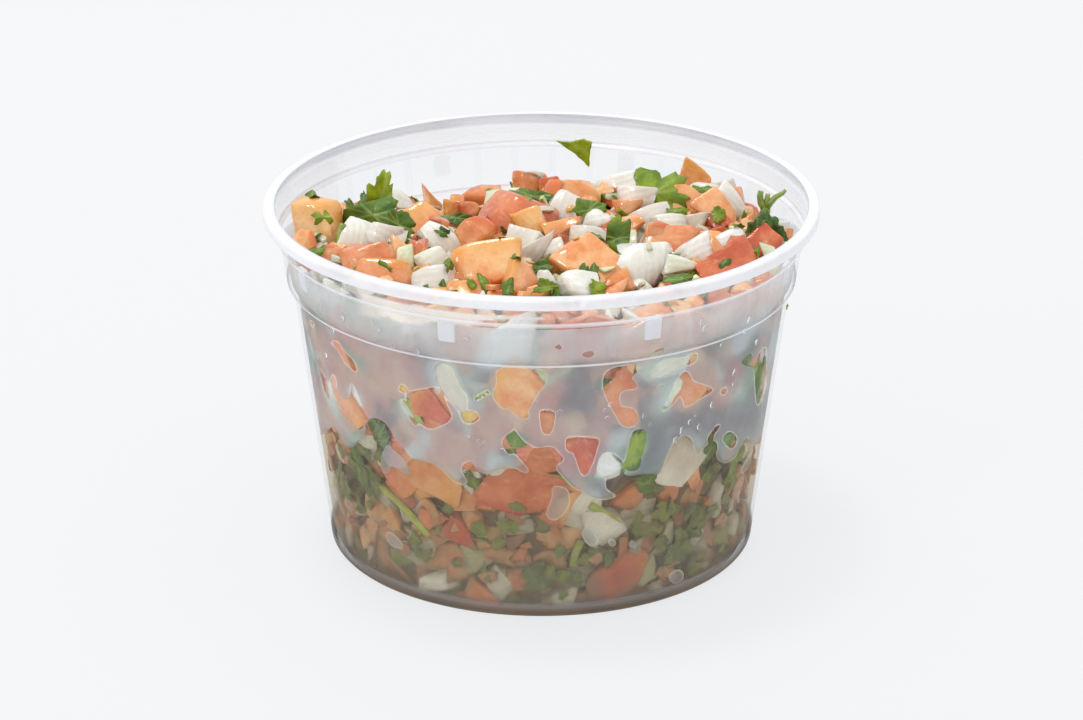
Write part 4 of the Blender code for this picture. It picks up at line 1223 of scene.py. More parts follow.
# %% [markdown]
# ## Filling the heap
#
# The placed pieces are the ones that can be recognised. Between and beneath them lie many more,
# which are spread by a seeded rule: a layer behind the wall all round, small bits against the wall
# in the juice, and a layer just under the surface. Where the picture shows dark gaps behind the
# front of the wall, the first layer leaves them free.

# %% Place every piece
MAKERS = {
    "tomato": tomato_piece, "onion": onion_piece, "leaf": leaf_piece, "stem": stem_piece, "seed": seed_piece,
}
batches = {kind: Batch() for kind in MAKERS}
JUICE_LEVEL = 25.0
LEAF_LIFT, DICE_SINK = 1.8, 0.12


def soak_of(points, edge):
    """0 above the juice or against the wall, near 1 deep in the juice or at a low piece's edge."""
    behind = np.maximum(inner_radius(points[:, 2]) - radius_of(points) - 0.35, 0)
    under = np.clip((JUICE_LEVEL + 2 - points[:, 2]) / 4, 0, 1)
    soft_edge = 0.92 * np.clip((27 - points[:, 2]) / 9, 0, 1) * np.clip((edge - 0.45) / 0.55, 0, 1) ** 1.2
    return np.maximum(1 - np.exp(-behind / 1.3), soft_edge) * under


def put(kind, size, place, shade, seed, count=8, spare=0.04, murk=0.0):
    """Makes one piece, keeps it inside the tub and adds it to its batch."""
    points, quads, caps, facts = MAKERS[kind](size, np.random.default_rng(seed), count)
    edge = np.max(np.abs(points[:, :2]) / (np.array(size[:2]) / 2), axis=1) * (kind in ("tomato", "onion"))
    points = kept_inside(moved(points, place), spare)
    soak = np.maximum(soak_of(points, edge), murk)
    batches[kind].add(points, quads, caps, shade=shade, soak=soak, **facts)


def touching(column, row, depth, spin):
    """Where the sight line meets the wall, the wall's angle there, and a place behind that spot."""
    touch = on_wall(column, row)
    angle = math.atan2(touch[1], touch[0])
    inward = np.array((-math.cos(angle), -math.sin(angle), 0)) * depth
    return touch, angle, Matrix.Translation(touch + inward) @ against_wall(angle, spin)


for number, (kind, column, row, length, width, thick, spin, lean, turn, shade) in enumerate(TOP_PIECES):
    lift = LEAF_LIFT if kind == "leaf" else -DICE_SINK * thick
    middle = first_seen(column, row, lambda p: p[:, 2] - heap_height(p[:, 0], p[:, 1]) - lift)
    put(kind, (length, width, thick), Matrix.Translation(middle) @ facing(spin, lean, turn), shade, number)

taken = []
for number, (kind, column, row, length, width, thick, spin, shade) in enumerate(FRONT_PIECES):
    touch, angle, place = touching(column, row, 0.38 * thick, spin)
    low_leaf = kind == "leaf" and touch[2] < JUICE_LEVEL
    if low_leaf:
        shade = max(shade, 0.45)
    elif kind == "tomato":
        shade = shade + 0.22
    murk = 0.36 if low_leaf else 0.0
    put(kind, (length, width, thick), place, shade, 200 + number, spare=0.04 + 0.012 * number, murk=murk)
    taken.append((angle, touch[2], 0.32 * (length + width) / 2))

leaf_turns = np.random.default_rng(31)
for number, (column, row, size, shade) in enumerate(SMALL_LEAVES):
    tilt = Matrix.Rotation(leaf_turns.uniform(-0.3, 0.3), 4, "X")
    width = size * leaf_turns.uniform(0.6, 0.95)
    _, _, place = touching(column, row, 0.15, leaf_turns.uniform(0, 360))
    put("leaf", (size, width, 0.25), place @ tilt, max(shade, 0.5), 700 + number,
        spare=0.04 + 0.008 * number, murk=0.42)

for number, (name, corners) in enumerate(WET_PATCHES.items()):
    low, high = np.min(corners, axis=0), np.max(corners, axis=0)
    kind = name.split("_")[0]
    kind = {"stem": "onion", "seed": "onion"}.get(kind, kind if kind in MAKERS else "tomato")
    thick = 0.6 if kind == "leaf" else 2.6
    _, angle, place = touching(*((low + high) / 2), 0.5 * thick + 0.5, 0)
    wide, tall = (high - low) / SPOTS_PER_MM + 2.5
    size = (wide / max(abs(math.sin(angle)), 0.4), tall * 1.1, thick)
    put(kind, size, place, 0.45, 500 + number, spare=0.9 + 0.01 * number)
print("placed by hand:", {kind: len(batch.points) for kind, batch in batches.items()})

# %% Spread the rest
KINDS = ("tomato", "onion", "leaf")
KIND_SHARES = (0.50, 0.30, 0.20)
JUICE_SHARES = (0.60, 0.24, 0.16)
BIT_SHARES = (0.45, 0.3, 0.25)
WALL_LEVELS, WALL_STEPS = 14, 40
BIT_COUNT = 46
SURFACE_COUNT, SURFACE_REACH = 330, 50.5
fill = np.random.default_rng(5)


def drawn_piece(scale, shares=KIND_SHARES):
    """Kind, size and shade of one more piece."""
    kind = KINDS[fill.choice(3, p=shares)]
    length, width = fill.uniform(6, 12) * scale, fill.uniform(4.5, 8.5) * scale
    thick = {"tomato": fill.uniform(4, 6), "onion": fill.uniform(2.2, 3.8), "leaf": 0.45}[kind]
    shade = fill.uniform(0, 1) if kind == "leaf" else fill.beta(1.1, 2.0)
    return kind, (length, width, thick), shade


def in_front_gap(point):
    column, row = seen_at(point[None])[0]
    return any(((column - c) / w) ** 2 + ((row - r) / h) ** 2 < 1 for c, r, w, h in FRONT_GAPS)


def near_taken(angle, z):
    return any(math.hypot((angle - a) * ROUND_MM, z - h) < reach for a, h, reach in taken)


number = 1000
for level in range(WALL_LEVELS):
    for step in range(WALL_STEPS):
        round_by = step + 0.5 * (level % 2) + fill.uniform(-0.3, 0.3)
        angle = math.radians(round_by * (360 // WALL_STEPS) - 180)
        z = 3.6 + 4.6 * level + fill.uniform(-1.3, 1.3)
        under_juice = z < JUICE_LEVEL
        depth = fill.uniform(0.0, 1.6) + (1.2 if near_taken(angle, z) else 0) + (0.6 if under_juice else 0)
        kind, size, shade = drawn_piece(0.95, JUICE_SHARES) if under_juice else drawn_piece(0.85)
        reach = inner_radius(z) - depth - 0.42 * size[2]
        middle = np.array((reach * math.cos(angle), reach * math.sin(angle), z))
        number += 1
        if z > heap_height(middle[0], middle[1]) - 1.5 or (middle[1] < 0 and in_front_gap(middle)):
            continue
        turn = against_wall(angle, fill.uniform(-80, 80)) @ Matrix.Rotation(fill.uniform(-0.25, 0.25), 4, "X")
        spare = fill.uniform(0.7, 2.4) if under_juice else 0.8 + 0.02 * (number % 40)
        murk = fill.uniform(0.0, 0.45) if under_juice else 0.0
        count = 5 if middle[1] < 4 else 4
        put(kind, size, Matrix.Translation(middle) @ turn, shade, number, count, spare, murk)

for step in range(BIT_COUNT):
    angle, z = math.radians(fill.uniform(-186, 6)), fill.uniform(2.6, 24)
    kind = KINDS[fill.choice(3, p=BIT_SHARES)]
    length, width = fill.uniform(2.0, 5.5), fill.uniform(1.6, 3.6)
    size = (length, width, 0.25 if kind == "leaf" else fill.uniform(0.9, 1.8))
    reach = inner_radius(z) - fill.uniform(0.1, 0.9) - 0.4 * size[2]
    turn = against_wall(angle, fill.uniform(0, 360)) @ Matrix.Rotation(fill.uniform(-0.5, 0.5), 4, "X")
    number += 1
    place = Matrix.Translation((reach * math.cos(angle), reach * math.sin(angle), z)) @ turn
    shade, spare, murk = fill.uniform(0, 1), fill.uniform(0.05, 0.7), fill.uniform(0.35, 0.85)
    put(kind, size, place, shade, number, 4, spare, murk)

golden = math.pi * (3 - math.sqrt(5))
for step in range(SURFACE_COUNT):
    radius, angle = SURFACE_REACH * math.sqrt((step + 0.5) / SURFACE_COUNT), golden * step
    x, y = radius * math.cos(angle), radius * math.sin(angle)
    hidden = y > CREST_AT + 8 or (radius > 40 and y < -20)
    drop = fill.uniform(1.8, 3.4) if hidden else fill.uniform(2.8, 4.4)
    drop += float(sunk(x, y))
    kind, size, shade = drawn_piece(0.7)
    lean = fill.uniform(-45, 35) if hidden else fill.uniform(10, 70)
    turn = facing(fill.uniform(-90, 90), lean, fill.uniform(-180, 180) if hidden else fill.uniform(-30, 30))
    number += 1
    middle = (x, y, float(heap_height(x, y)) - drop)
    put(kind, size, Matrix.Translation(middle) @ turn, shade, number, 4 if hidden else 5)
print("with the spread pieces:", {kind: len(batch.points) for kind, batch in batches.items()})

# %% [markdown]
# ## The sprig
#
# At the right a cut stem with a forked end stands up out of the heap, with leaves at its foot.
# Its joints are read from the picture at one depth, and short tubes are run through them.

# %% Sprig
SPRIG_DEPTH = 6.0
SPRIG_PATHS = [
    ([(762, 246), (762, 236), (763, 224), (765, 212), (766, 206)], (1.1, 1.15, 1.2, 1.15, 1.0)),
    ([(765, 208), (761, 202), (760, 196), (761, 191)], (0.95, 0.8, 0.7, 0.6)),
    ([(766, 208), (770, 203), (776, 197), (783, 193), (786, 190)], (0.9, 0.75, 0.6, 0.5, 0.35)),
    ([(766, 207), (767, 201), (768, 194)], (0.8, 0.65, 0.5)),
]
for number, (spots, radii) in enumerate(SPRIG_PATHS):
    path = [on_depth(column, row, SPRIG_DEPTH) for column, row in spots]
    points, quads, caps, facts = tube_piece(path, radii, np.random.default_rng(number))
    batches["stem"].add(points, quads, caps, shade=0.7, soak=0.0, **facts)

# %% [markdown]
# ## Small bits
#
# A knife also makes crumbs: flakes of leaf, loose seeds and slivers of onion. Each is dropped on
# the pieces below it: a ray straight down from above finds the surface, and the flake is laid
# flat on it. One more fleck of leaf clings to the outside of the band at the right.

# %% Drop flakes and seeds on the pieces
solid_points = np.concatenate(batches["tomato"].points + batches["onion"].points)
offset = batches["tomato"].total
solid_faces = [f for g in batches["tomato"].faces for f in g.tolist()]
solid_faces += [[i + offset for i in f] for g in batches["onion"].faces for f in g.tolist()]
surface = BVHTree.FromPolygons(solid_points.tolist(), solid_faces)
CRUMB_KINDS = ("leaf", "onion", "leaf", "leaf", "onion", "leaf", "tomato", "leaf", "seed", "leaf")
CRUMB_TRIES = 460
crumbs = np.random.default_rng(9)


def laid_flat(point, normal, spin):
    tilt = Vector((0, 0, 1)).rotation_difference(normal).to_matrix().to_4x4()
    return Matrix.Translation(point) @ tilt @ Matrix.Rotation(spin, 4, "Z")


for number in range(CRUMB_TRIES):
    radius, angle = 50 * math.sqrt(crumbs.random()), crumbs.uniform(0, 6.28)
    start = Vector((radius * math.cos(angle), radius * math.sin(angle), 120))
    point, normal, _, _ = surface.ray_cast(start, Vector((0, 0, -1)))
    if point is None or normal.z < 0.2:
        continue
    if point.z > heap_height(point.x, point.y) + 0.4 and crumbs.random() > 0.22:
        continue
    kind = CRUMB_KINDS[number % len(CRUMB_KINDS)]
    size = {"leaf": (crumbs.uniform(3.0, 7.0), crumbs.uniform(1.8, 4.2), 0.22), "seed": (2.3, 1.6, 0.7),
            "onion": (crumbs.uniform(2.0, 5.5), 1.3, 0.8),
            "tomato": (crumbs.uniform(1.6, 4.2), crumbs.uniform(1.2, 2.6), 1.3)}[kind]
    spot = point + normal * (0.15 + 0.3 * size[2])
    place = laid_flat(spot, normal, crumbs.uniform(0, 6.28))
    put(kind, size, place, crumbs.uniform(0.3, 1), 3000 + number, count=4)

fleck_at = first_seen(787, 307, lambda p: radius_of(p) - band_inner(p[:, 2]) - WALL)
points, quads, _, facts = leaf_piece((1.7, 1.2, 0.25), np.random.default_rng(44), 4)
fleck_place = Matrix.Translation(fleck_at) @ against_wall(math.atan2(fleck_at[1], fleck_at[0]), 20)
batches["leaf"].add(moved(points, fleck_place), quads, shade=0.4, soak=0.0, **facts)

tomato = batches["tomato"].build("tomato_dice", tomato_flesh)
onion = batches["onion"].build("onion_dice", onion_flesh)
leaves = batches["leaf"].build("cilantro_leaves", leaf_green)
stems = batches["stem"].build("cilantro_stems", stem_green)
seeds = batches["seed"].build("tomato_seeds", seed_cream)

# %% [markdown]
# ## The mash inside
#
# Behind the pieces the heap is packed so tight that only a dark, wet mash shows in the gaps. It
# is one closed body that keeps a few millimetres behind the pieces on every side.

# %% Mash body
MASH_DEPTH = 3.6
MASH_COLUMNS = 72
turn = turns(MASH_COLUMNS)
rings = []
for z in np.linspace(FLOOR_TOP + 0.2, 58, 20):
    reach = inner_radius(z) - (MASH_DEPTH if z > FLOOR_TOP + 1 else MASH_DEPTH + 0.5)
    rings.append(ring(reach, turn, z))
edge = inner_radius(60) - MASH_DEPTH
for share in (1.0, 0.85, 0.7, 0.55, 0.4, 0.25, 0.1):
    x, y = edge * share * np.cos(turn), edge * share * np.sin(turn)
    rings.append(np.stack([x, y, heap_height(x, y) - MASH_DEPTH - sunk(x, y)], axis=1))
ends = np.array([(0, 0, FLOOR_TOP + 0.2), (0, 0, float(heap_height(0.0, 0.0)) - MASH_DEPTH)])
points = np.concatenate(rings + [ends])
points[:-2] = slow_waves(points[:-2], np.random.default_rng(3), 9.0, 0.5)
points = kept_inside(points, 2.0)
poles = len(points) - 2
faces = ring_faces(len(rings), MASH_COLUMNS, poles, poles + 1)
core = mesh_object("packed_mash", points, faces, {}, mash)
for piece in (tomato, onion, leaves, stems, seeds, core):
    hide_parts("pico_heap")

# %% [markdown]
# ## The plastic
#
# The tub is thin polypropylene. Its outer face is glossy and nearly clear, with a little milk in
# it that thickens wherever the plastic does: at the rim, at the two small steps and in the lugs.
# The attribute `milk` carries that. Its inner face is fogged where `wet` is below zero. Fog does
# two things: it adds a white veil, and it scatters the light from behind, so that colours come
# through but outlines don't. A Translucent shader gives that scatter without glass and its noise.
# The tub could be glass with a rough inner face, but then the light could hardly get in.

# %% Outer plastic
outer_plastic, tree = new_material("tub_plastic_outside")
place = object_place(tree)
milk = fact(tree, "milk")
# Painted light: the brown of the juice seen through the foot is painted on the outer face, stronger towards
# the floor.
stain = fact(tree, "stain")
flow = noise(tree, 55.0, 2.0, 0.5, place)
milky = maths(tree, "MULTIPLY", milk, ramp(tree, flow, 0.3, 0.7, 0.85, 1.15))
plain = two_tones(tree, flow, (248, 249, 253), (242, 243, 248))
# The colours of that painted view of the juice through the foot.
painted_view_colour = two_tones(tree, ramp(tree, flow, 0.35, 0.65), (136, 106, 70), (104, 86, 54))
high = add(tree, "ShaderNodeSeparateXYZ", {0: place}).outputs["Z"]
# Painted shadow: a thin dark line where the tub stands on the floor, and painted shade in a second line at
# the height where the inside floor meets the wall.
painted_contact_shadow = ramp(tree, high, 0.0002, 0.0006, 0.8, 0.0)
from_floor = maths(tree, "ABSOLUTE", maths(tree, "SUBTRACT", high, FLOOR_TOP * MM))
painted_crease_shade = ramp(tree, from_floor, 0.0, 0.0003, 0.4, 0.0)
painted_view_and_lines = mix_colour(tree, maths(tree, "MAXIMUM", painted_contact_shadow, painted_crease_shade), painted_view_colour, from_paint(52, 40, 26))
# The plastic's own tone, with the painted view of the juice and the painted dark lines at the base.
plastic_and_painted_view = mix_colour(tree, stain, plain, painted_view_and_lines)
rough = ramp(tree, noise(tree, 420.0, 1.0, 0.5, place), 0.35, 0.75, 0.10, 0.24)
gloss = principled(tree, plastic_and_painted_view, rough, {"IOR": 1.48})
glow_share = ramp(tree, milk, 0.2, 0.85, 0.55, 0.12)
milky_body = mix_shader(tree, glow_share, gloss, glow_through(tree, plastic_and_painted_view))
clear = see_through(tree, (0.998, 0.999, 1.0, 1))
grazing = add(tree, "ShaderNodeLayerWeight", {"Blend": 0.22}).outputs["Fresnel"]
share = maths(tree, "ADD", milky, maths(tree, "MULTIPLY", grazing, 0.22), clamp=True)
# Where the juice view is painted, the face is opaque.
share = maths(tree, "MAXIMUM", share, stain)
finish_with(tree, mix_shader(tree, share, clear, milky_body))

# %% Fogged inner face
FOG_SHARE, MENISCUS_SHARE, MILK_SHARE = 0.73, 0.6, 0.8
inner_plastic, tree = new_material("tub_plastic_inside")
place = object_place(tree)
rough_edge = maths(tree, "MULTIPLY", maths(tree, "SUBTRACT", noise(tree, 900.0, 1.0, 0.5, place), 0.5), 0.25)
edge_place = maths(tree, "ADD", fact(tree, "wet"), rough_edge)
dry = ramp(tree, edge_place, -0.10, 0.10, 1.0, 0.0, smooth=True)
mottle = ramp(tree, noise(tree, 150.0, 3.0, 0.65, place), 0.3, 0.7, 0.86, 1.10)
fog = maths(tree, "MULTIPLY", dry, mottle)
haze = maths(tree, "MULTIPLY", fact(tree, "hazy"), mottle)
from_edge = maths(tree, "ABSOLUTE", maths(tree, "ADD", edge_place, 0.05))
rim_line = ramp(tree, from_edge, 0.0, 0.16, 1.0, 0.0, smooth=True)
patch_noise = noise(tree, 66.0, 2.0, 0.5, place)
meniscus = maths(tree, "MULTIPLY", rim_line, ramp(tree, patch_noise, 0.38, 0.52, smooth=True))
film = maths(tree, "MULTIPLY", fact(tree, "film"), ramp(tree, patch_noise, 0.35, 0.65, 0.7, 1.2))
warm = maths(tree, "MAXIMUM", meniscus, film)
veil_colour = two_tones(tree, warm, (198, 211, 221), (252, 243, 230))
veil = principled(tree, veil_colour, 0.35, {"IOR": 1.4})
passed = mix_colour(tree, warm, (0.87, 0.94, 0.965, 1), (1.0, 0.96, 0.92, 1))
veil_share = ramp(tree, warm, 0.0, 1.0, 0.42, 0.9)
fogged = mix_shader(tree, veil_share, glow_through(tree, passed), veil)
share = maths(tree, "ADD", maths(tree, "MULTIPLY", fog, FOG_SHARE), haze)
share = maths(tree, "MAXIMUM", share, maths(tree, "MULTIPLY", meniscus, MENISCUS_SHARE))
share = maths(tree, "MAXIMUM", share, film)
thick_share = maths(tree, "MULTIPLY", fact(tree, "milk"), MILK_SHARE)
share = maths(tree, "MAXIMUM", share, thick_share, clamp=True)
finish_with(tree, mix_shader(tree, share, see_through(tree, (0.995, 0.995, 0.995, 1)), fogged))
print("plastic materials made")

# %% [markdown]
# ## Turning the tub
#
# A tub is a body of revolution: one outline, turned about the axis. The outline is a list of
# corners, each with the size of its rounding and with its milk. A Screw modifier could turn it,
# but here each ring is made by numbers, because every point of the inside also needs its `wet`
# value, and long stretches need many rings for that.

# %% Outline of the tub
def rounded(corners, longest):
    """Softens each corner of a path and divides its long stretches."""
    path = []
    for i, (r, z, soft, milk) in enumerate(corners):
        here = np.array((r, z))
        if soft == 0 or i in (0, len(corners) - 1):
            path.append((r, z, milk))
            continue
        before, after = np.array(corners[i - 1][:2]), np.array(corners[i + 1][:2])
        into = here + (before - here) / np.linalg.norm(before - here) * soft
        away = here + (after - here) / np.linalg.norm(after - here) * soft
        for t in (0.0, 0.25, 0.5, 0.75, 1.0):
            spot = (1 - t) ** 2 * into + 2 * t * (1 - t) * here + t ** 2 * away
            path.append((*spot, milk))
    finer = [path[0]]
    for a, b in zip(path, path[1:]):
        a, b = np.array(a), np.array(b)
        pieces = 1 if 0 in (a[0], b[0]) else max(1, math.ceil(np.linalg.norm((b - a)[:2]) / longest))
        finer += [tuple(a + (b - a) * (k + 1) / pieces) for k in range(pieces)]
    return np.array(finer)


rim_low = TUB_HEIGHT - RIM_DEPTH
foot_inner = FOOT_RADIUS - FOOT_RING_WIDTH
OUTSIDE = [
    (0.0, FOOT_RECESS, 0, 0.1),
    (foot_inner - 0.8, FOOT_RECESS, 0.5, 0.05),
    (foot_inner, 0.0, 0.4, 0.05),
    (FOOT_RADIUS - 0.6, 0.0, 0.4, 0.05),
    (FOOT_RADIUS + 0.1, 0.8, 0.4, 0.02),
    (body_radius(BAND_BOTTOM - 0.4), BAND_BOTTOM - 0.4, 0.25, 0.02),
    (BAND_LOW, BAND_BOTTOM + 0.15, 0.25, 0.8),
    (BAND_LOW + 0.1, BAND_BOTTOM + 0.9, 0.1, 0.07),
    (BAND_HIGH - 0.1, SEAT_LEVEL - 0.8, 0.1, 0.08),
    (BAND_HIGH, SEAT_LEVEL - 0.2, 0.15, 0.6),
    (NECK, SEAT_LEVEL + 0.3, 0.2, 0.8),
    (NECK + 0.1, SEAT_LEVEL + 1.0, 0.1, 0.22),
    (NECK + 0.3, rim_low, 0.5, 0.34),
    (RIM_RADIUS, rim_low, 0.5, 0.9),
    (RIM_RADIUS, TUB_HEIGHT, 0.8, 0.93),
    (NECK + 0.4, TUB_HEIGHT, 0.6, 0.9),
]
INSIDE = [
    (NECK + 0.4 - 0.35, TUB_HEIGHT - 0.7, 0.2, 0.08),
    (NECK - WALL, SEAT_LEVEL + 0.7, 0.3, 0.02),
    (BAND_HIGH - WALL, SEAT_LEVEL, 0.25, 0.1),
    (BAND_LOW - WALL, BAND_BOTTOM + 0.7, 0.3, 0.03),
    (inner_radius(BAND_BOTTOM), BAND_BOTTOM + 0.1, 0.2, 0.1),
    (inner_radius(FLOOR_TOP + 0.9), FLOOR_TOP + 0.9, 0.5, 0.0),
    (inner_radius(FLOOR_TOP) - 1.0, FLOOR_TOP, 0.5, 0.0),
    (0.0, FLOOR_TOP, 0, 0.0),
]
outside, inside = rounded(OUTSIDE, 1.2), rounded(INSIDE, 0.75)
print(len(outside), "rings outside and", len(inside), "inside")

# %% Turn the outline
TUB_COLUMNS = 384
RESIDUE_ROW, RESIDUE_LEFT, RESIDUE_RIGHT = 322, 352, 575
# How far up the base the painted view of the juice reaches, and how strong it is at the floor.
PAINTED_VIEW_TOP, PAINTED_VIEW_STRENGTH = 4.2, 0.94
turn = turns(TUB_COLUMNS)
path = np.concatenate([outside[1:], inside[:-1]])
rings = [ring(r, turn, z) for r, z, _ in path]
points = np.concatenate(rings + [np.array([(0, 0, outside[0][1]), (0, 0, inside[-1][1])])])
height = points[:, 2]
milk = np.append(np.repeat(path[:, 2], TUB_COLUMNS), (0.3, 0.0))
wet = wetness(points)
over_food = height - heap_height(points[:, 0], points[:, 1]) - 1.2 + 4.5 * np.clip(points[:, 1] / 20, 0, 1)
wet = np.maximum(wet, np.clip(3 * over_food, -6, 6))
below_food = np.clip(-over_food / 2, 0, 1)
hazy = below_food * np.where(wet > 0, 0.20 + 0.12 * np.clip((20 - height) / 10, 0, 1), 0.14)
wet[-2:] = 6
wet[radius_of(points) < inner_radius(FLOOR_TOP) - 0.9] = 6
# Painted view of the juice through the foot, strongest at the floor.
stain = PAINTED_VIEW_STRENGTH * np.clip((PAINTED_VIEW_TOP - height) / 2.3, 0, 1) ** 1.7

column, row = seen_at(points).T
ragged = 1.6 * np.sin(column / 9) + 1.1 * np.sin(column / 3.7) + 4 * np.sin(column / 31)
residue = np.clip((RESIDUE_ROW + ragged - row + (column - 460) * 0.02) / 1.5, 0, 1)
residue = residue * np.clip((column - RESIDUE_LEFT) / 12, 0, 1) * np.clip((RESIDUE_RIGHT - column) / 25, 0, 1)
residue = residue * (height < SEAT_LEVEL + 2) * (points[:, 1] < 0)
film = np.maximum(0.34 * below_food * np.clip((height - BAND_BOTTOM - 0.4) / 1.5, 0, 1), residue)

poles = len(points) - 2
faces = ring_faces(len(rings), TUB_COLUMNS, poles, poles + 1)
facts = {"milk": milk, "wet": wet, "stain": stain, "hazy": hazy, "film": film}
tub = mesh_object("deli_tub", points, faces, facts, outer_plastic, inner_plastic)
first_inside = (len(outside) - 1) * TUB_COLUMNS
slots = [0 if min(face) < first_inside - TUB_COLUMNS or poles in face else 1 for face in faces]
tub.data.polygons.foreach_set("material_index", slots)
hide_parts("tub")

# %% [markdown]
# ## Ribs and lugs
#
# Inside the band stand low ribs and eight wide lugs, which keep nested tubs from jamming. Seen
# through the band the front ones are whiter than the wall, partly because there the plastic is
# thicker and partly as painted light: the lugs and ribs at the front get far more milk than the
# same ones behind.

# %% Ribs and lugs
RIB_COUNT, LUG_EVERY = 40, 5
FIRST_RIB_ANGLE = -90 + 1.9 - 22.5
LUG = (3.7, 5.0, 0.75, 0.3, 0.35)
RIB = (1.7, 7.6, 0.3, 0.4, 0.12)
rib_plastic, tree = new_material("rib_plastic")
cloud = noise(tree, 300.0, 2.0, 0.5, object_place(tree))
tone = two_tones(tree, cloud, (248, 248, 251), (243, 244, 248))
body = principled(tree, tone, ramp(tree, cloud, 0.3, 0.7, 0.2, 0.4), {})
milky_body = mix_shader(tree, 0.2, body, glow_through(tree, tone))
clear = see_through(tree, (0.996, 0.996, 0.998, 1))
finish_with(tree, mix_shader(tree, fact(tree, "milk"), clear, milky_body))

ribs = Batch()
for i in range(RIB_COUNT):
    wide = i % LUG_EVERY == 0
    width, height, proud, drop, soft = LUG if wide else RIB
    cube, quads = CUBES[9]
    points = softened(cube, np.array((proud / 2 + 0.2, width / 2, height / 2)), soft)
    z = SEAT_LEVEL - drop - height / 2
    angle = math.radians(FIRST_RIB_ANGLE + 360 / RIB_COUNT * i)
    place = (
        Matrix.Rotation(angle, 4, "Z")
        @ Matrix.Translation((band_inner(z) - proud / 2 + 0.1, 0, z))
        @ Matrix.Rotation(math.atan(BAND_DRAFT), 4, "Y")
    )
    behind = math.sin(angle) > 0
    # Painted light: the lugs and ribs at the front get far more milk than the same ones behind, so they show
    # whiter. The lugs get more milk than the ribs because they are thicker.
    thickness_and_painted_light = (0.1 if behind else 0.88) if wide else (0.02 if behind else 0.06)
    ribs.add(moved(points, place), quads, milk=thickness_and_painted_light)
ribs = ribs.build("nesting_ribs", rib_plastic)
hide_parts("tub")

# %% [markdown]
# ## The juice
#
# Juice fills the lower part between the pieces and the wall. It is a closed ring that reaches
# just into the wall, so that no air shows between them, and a little way in among the pieces. Its
# material is a thin brown murk: the outer face tints what lies behind it, and the inner face
# hides the depth.

# %% Juice material
juice_murk, tree = new_material("juice")
place = object_place(tree)
deep = fact(tree, "deep")
swirl = noise(tree, 90.0, 3.0, 0.6, place)
tone = two_tones(tree, ramp(tree, swirl, 0.3, 0.7), (158, 140, 112), (140, 130, 106))
murk = principled(tree, tone, ramp(tree, swirl, 0.3, 0.7, 0.05, 0.15), {"IOR": 1.34})
tint = mix_colour(tree, deep, (0.93, 0.88, 0.80, 1), (0.82, 0.73, 0.60, 1))
wet_share = ramp(tree, fact(tree, "wet"), -0.05, 0.1, 0.0, 1.0)
deep_share = ramp(tree, deep, 0.0, 1.0, 0.07, 0.5)
cloudy_share = maths(tree, "MULTIPLY", deep_share, ramp(tree, swirl, 0.3, 0.7, 0.8, 1.2))
share = maths(tree, "MULTIPLY", cloudy_share, wet_share, clamp=True)
finish_with(tree, mix_shader(tree, share, see_through(tree, tint), murk))

# %% Juice body
JUICE_COLUMNS, JUICE_ROWS, JUICE_DEPTH = 288, 26, 2.4
turn = turns(JUICE_COLUMNS)
levels = np.arange(8.0, 44.0, 0.5)
grid = [(inner_radius(z) * math.cos(t), inner_radius(z) * math.sin(t), z) for t in turn for z in levels]
grid = np.array(grid)
front_depth = depth_inside(seen_at(grid), smooth_outline(JUICE_LINE)) / SPOTS_PER_MM
grid_angle = np.arctan2(grid[:, 1], grid[:, 0])
back_depth = back_juice_line(grid_angle, np.random.default_rng(BACK_SEED)) - grid[:, 2]
share = front_share(grid_angle)
inside_juice = share * front_depth + (1 - share) * back_depth > -0.2
top = np.zeros(JUICE_COLUMNS)
for i, column in enumerate(inside_juice.reshape(JUICE_COLUMNS, len(levels))):
    dry_at = np.nonzero(~column)[0]
    top[i] = levels[dry_at[0]] if len(dry_at) else levels[-1]
top = np.convolve(np.concatenate([top[-2:], top, top[:2]]), (0.1, 0.2, 0.4, 0.2, 0.1), "valid")

outer, inner = [], []
for k in range(JUICE_ROWS + 1):
    z = FLOOR_TOP + 0.9 + (top - FLOOR_TOP - 0.9) * k / JUICE_ROWS
    outer.append(ring(inner_radius(z) + 0.02, turn, z))
    z = FLOOR_TOP - 0.05 + (top - 0.4 - FLOOR_TOP + 0.05) * k / JUICE_ROWS
    inner.append(ring(inner_radius(z) - JUICE_DEPTH, turn, z))
rings = outer + inner[::-1]
points, outer = np.concatenate(rings), np.concatenate(outer)
faces = ring_faces(len(rings), JUICE_COLUMNS) + between((len(rings) - 1) * JUICE_COLUMNS, 0, JUICE_COLUMNS)
others = len(points) - len(outer)
facts = {
    "deep": np.append(np.zeros(len(outer)), np.ones(others)),
    "wet": np.append(wetness(outer), np.full(others, 6.0)),
}
juice = mesh_object("juice", points, faces, facts, juice_murk)
print("juice stands", round(float(top.min()), 1), "to", round(float(top.max()), 1), "mm high")

# %% [markdown]
# ## Droplets
#
# A few drops of water have run together on the outside of the upper wall. Each is a flattened
# bead with a tail, and its material is plain water: each one bends the light like a tiny lens.

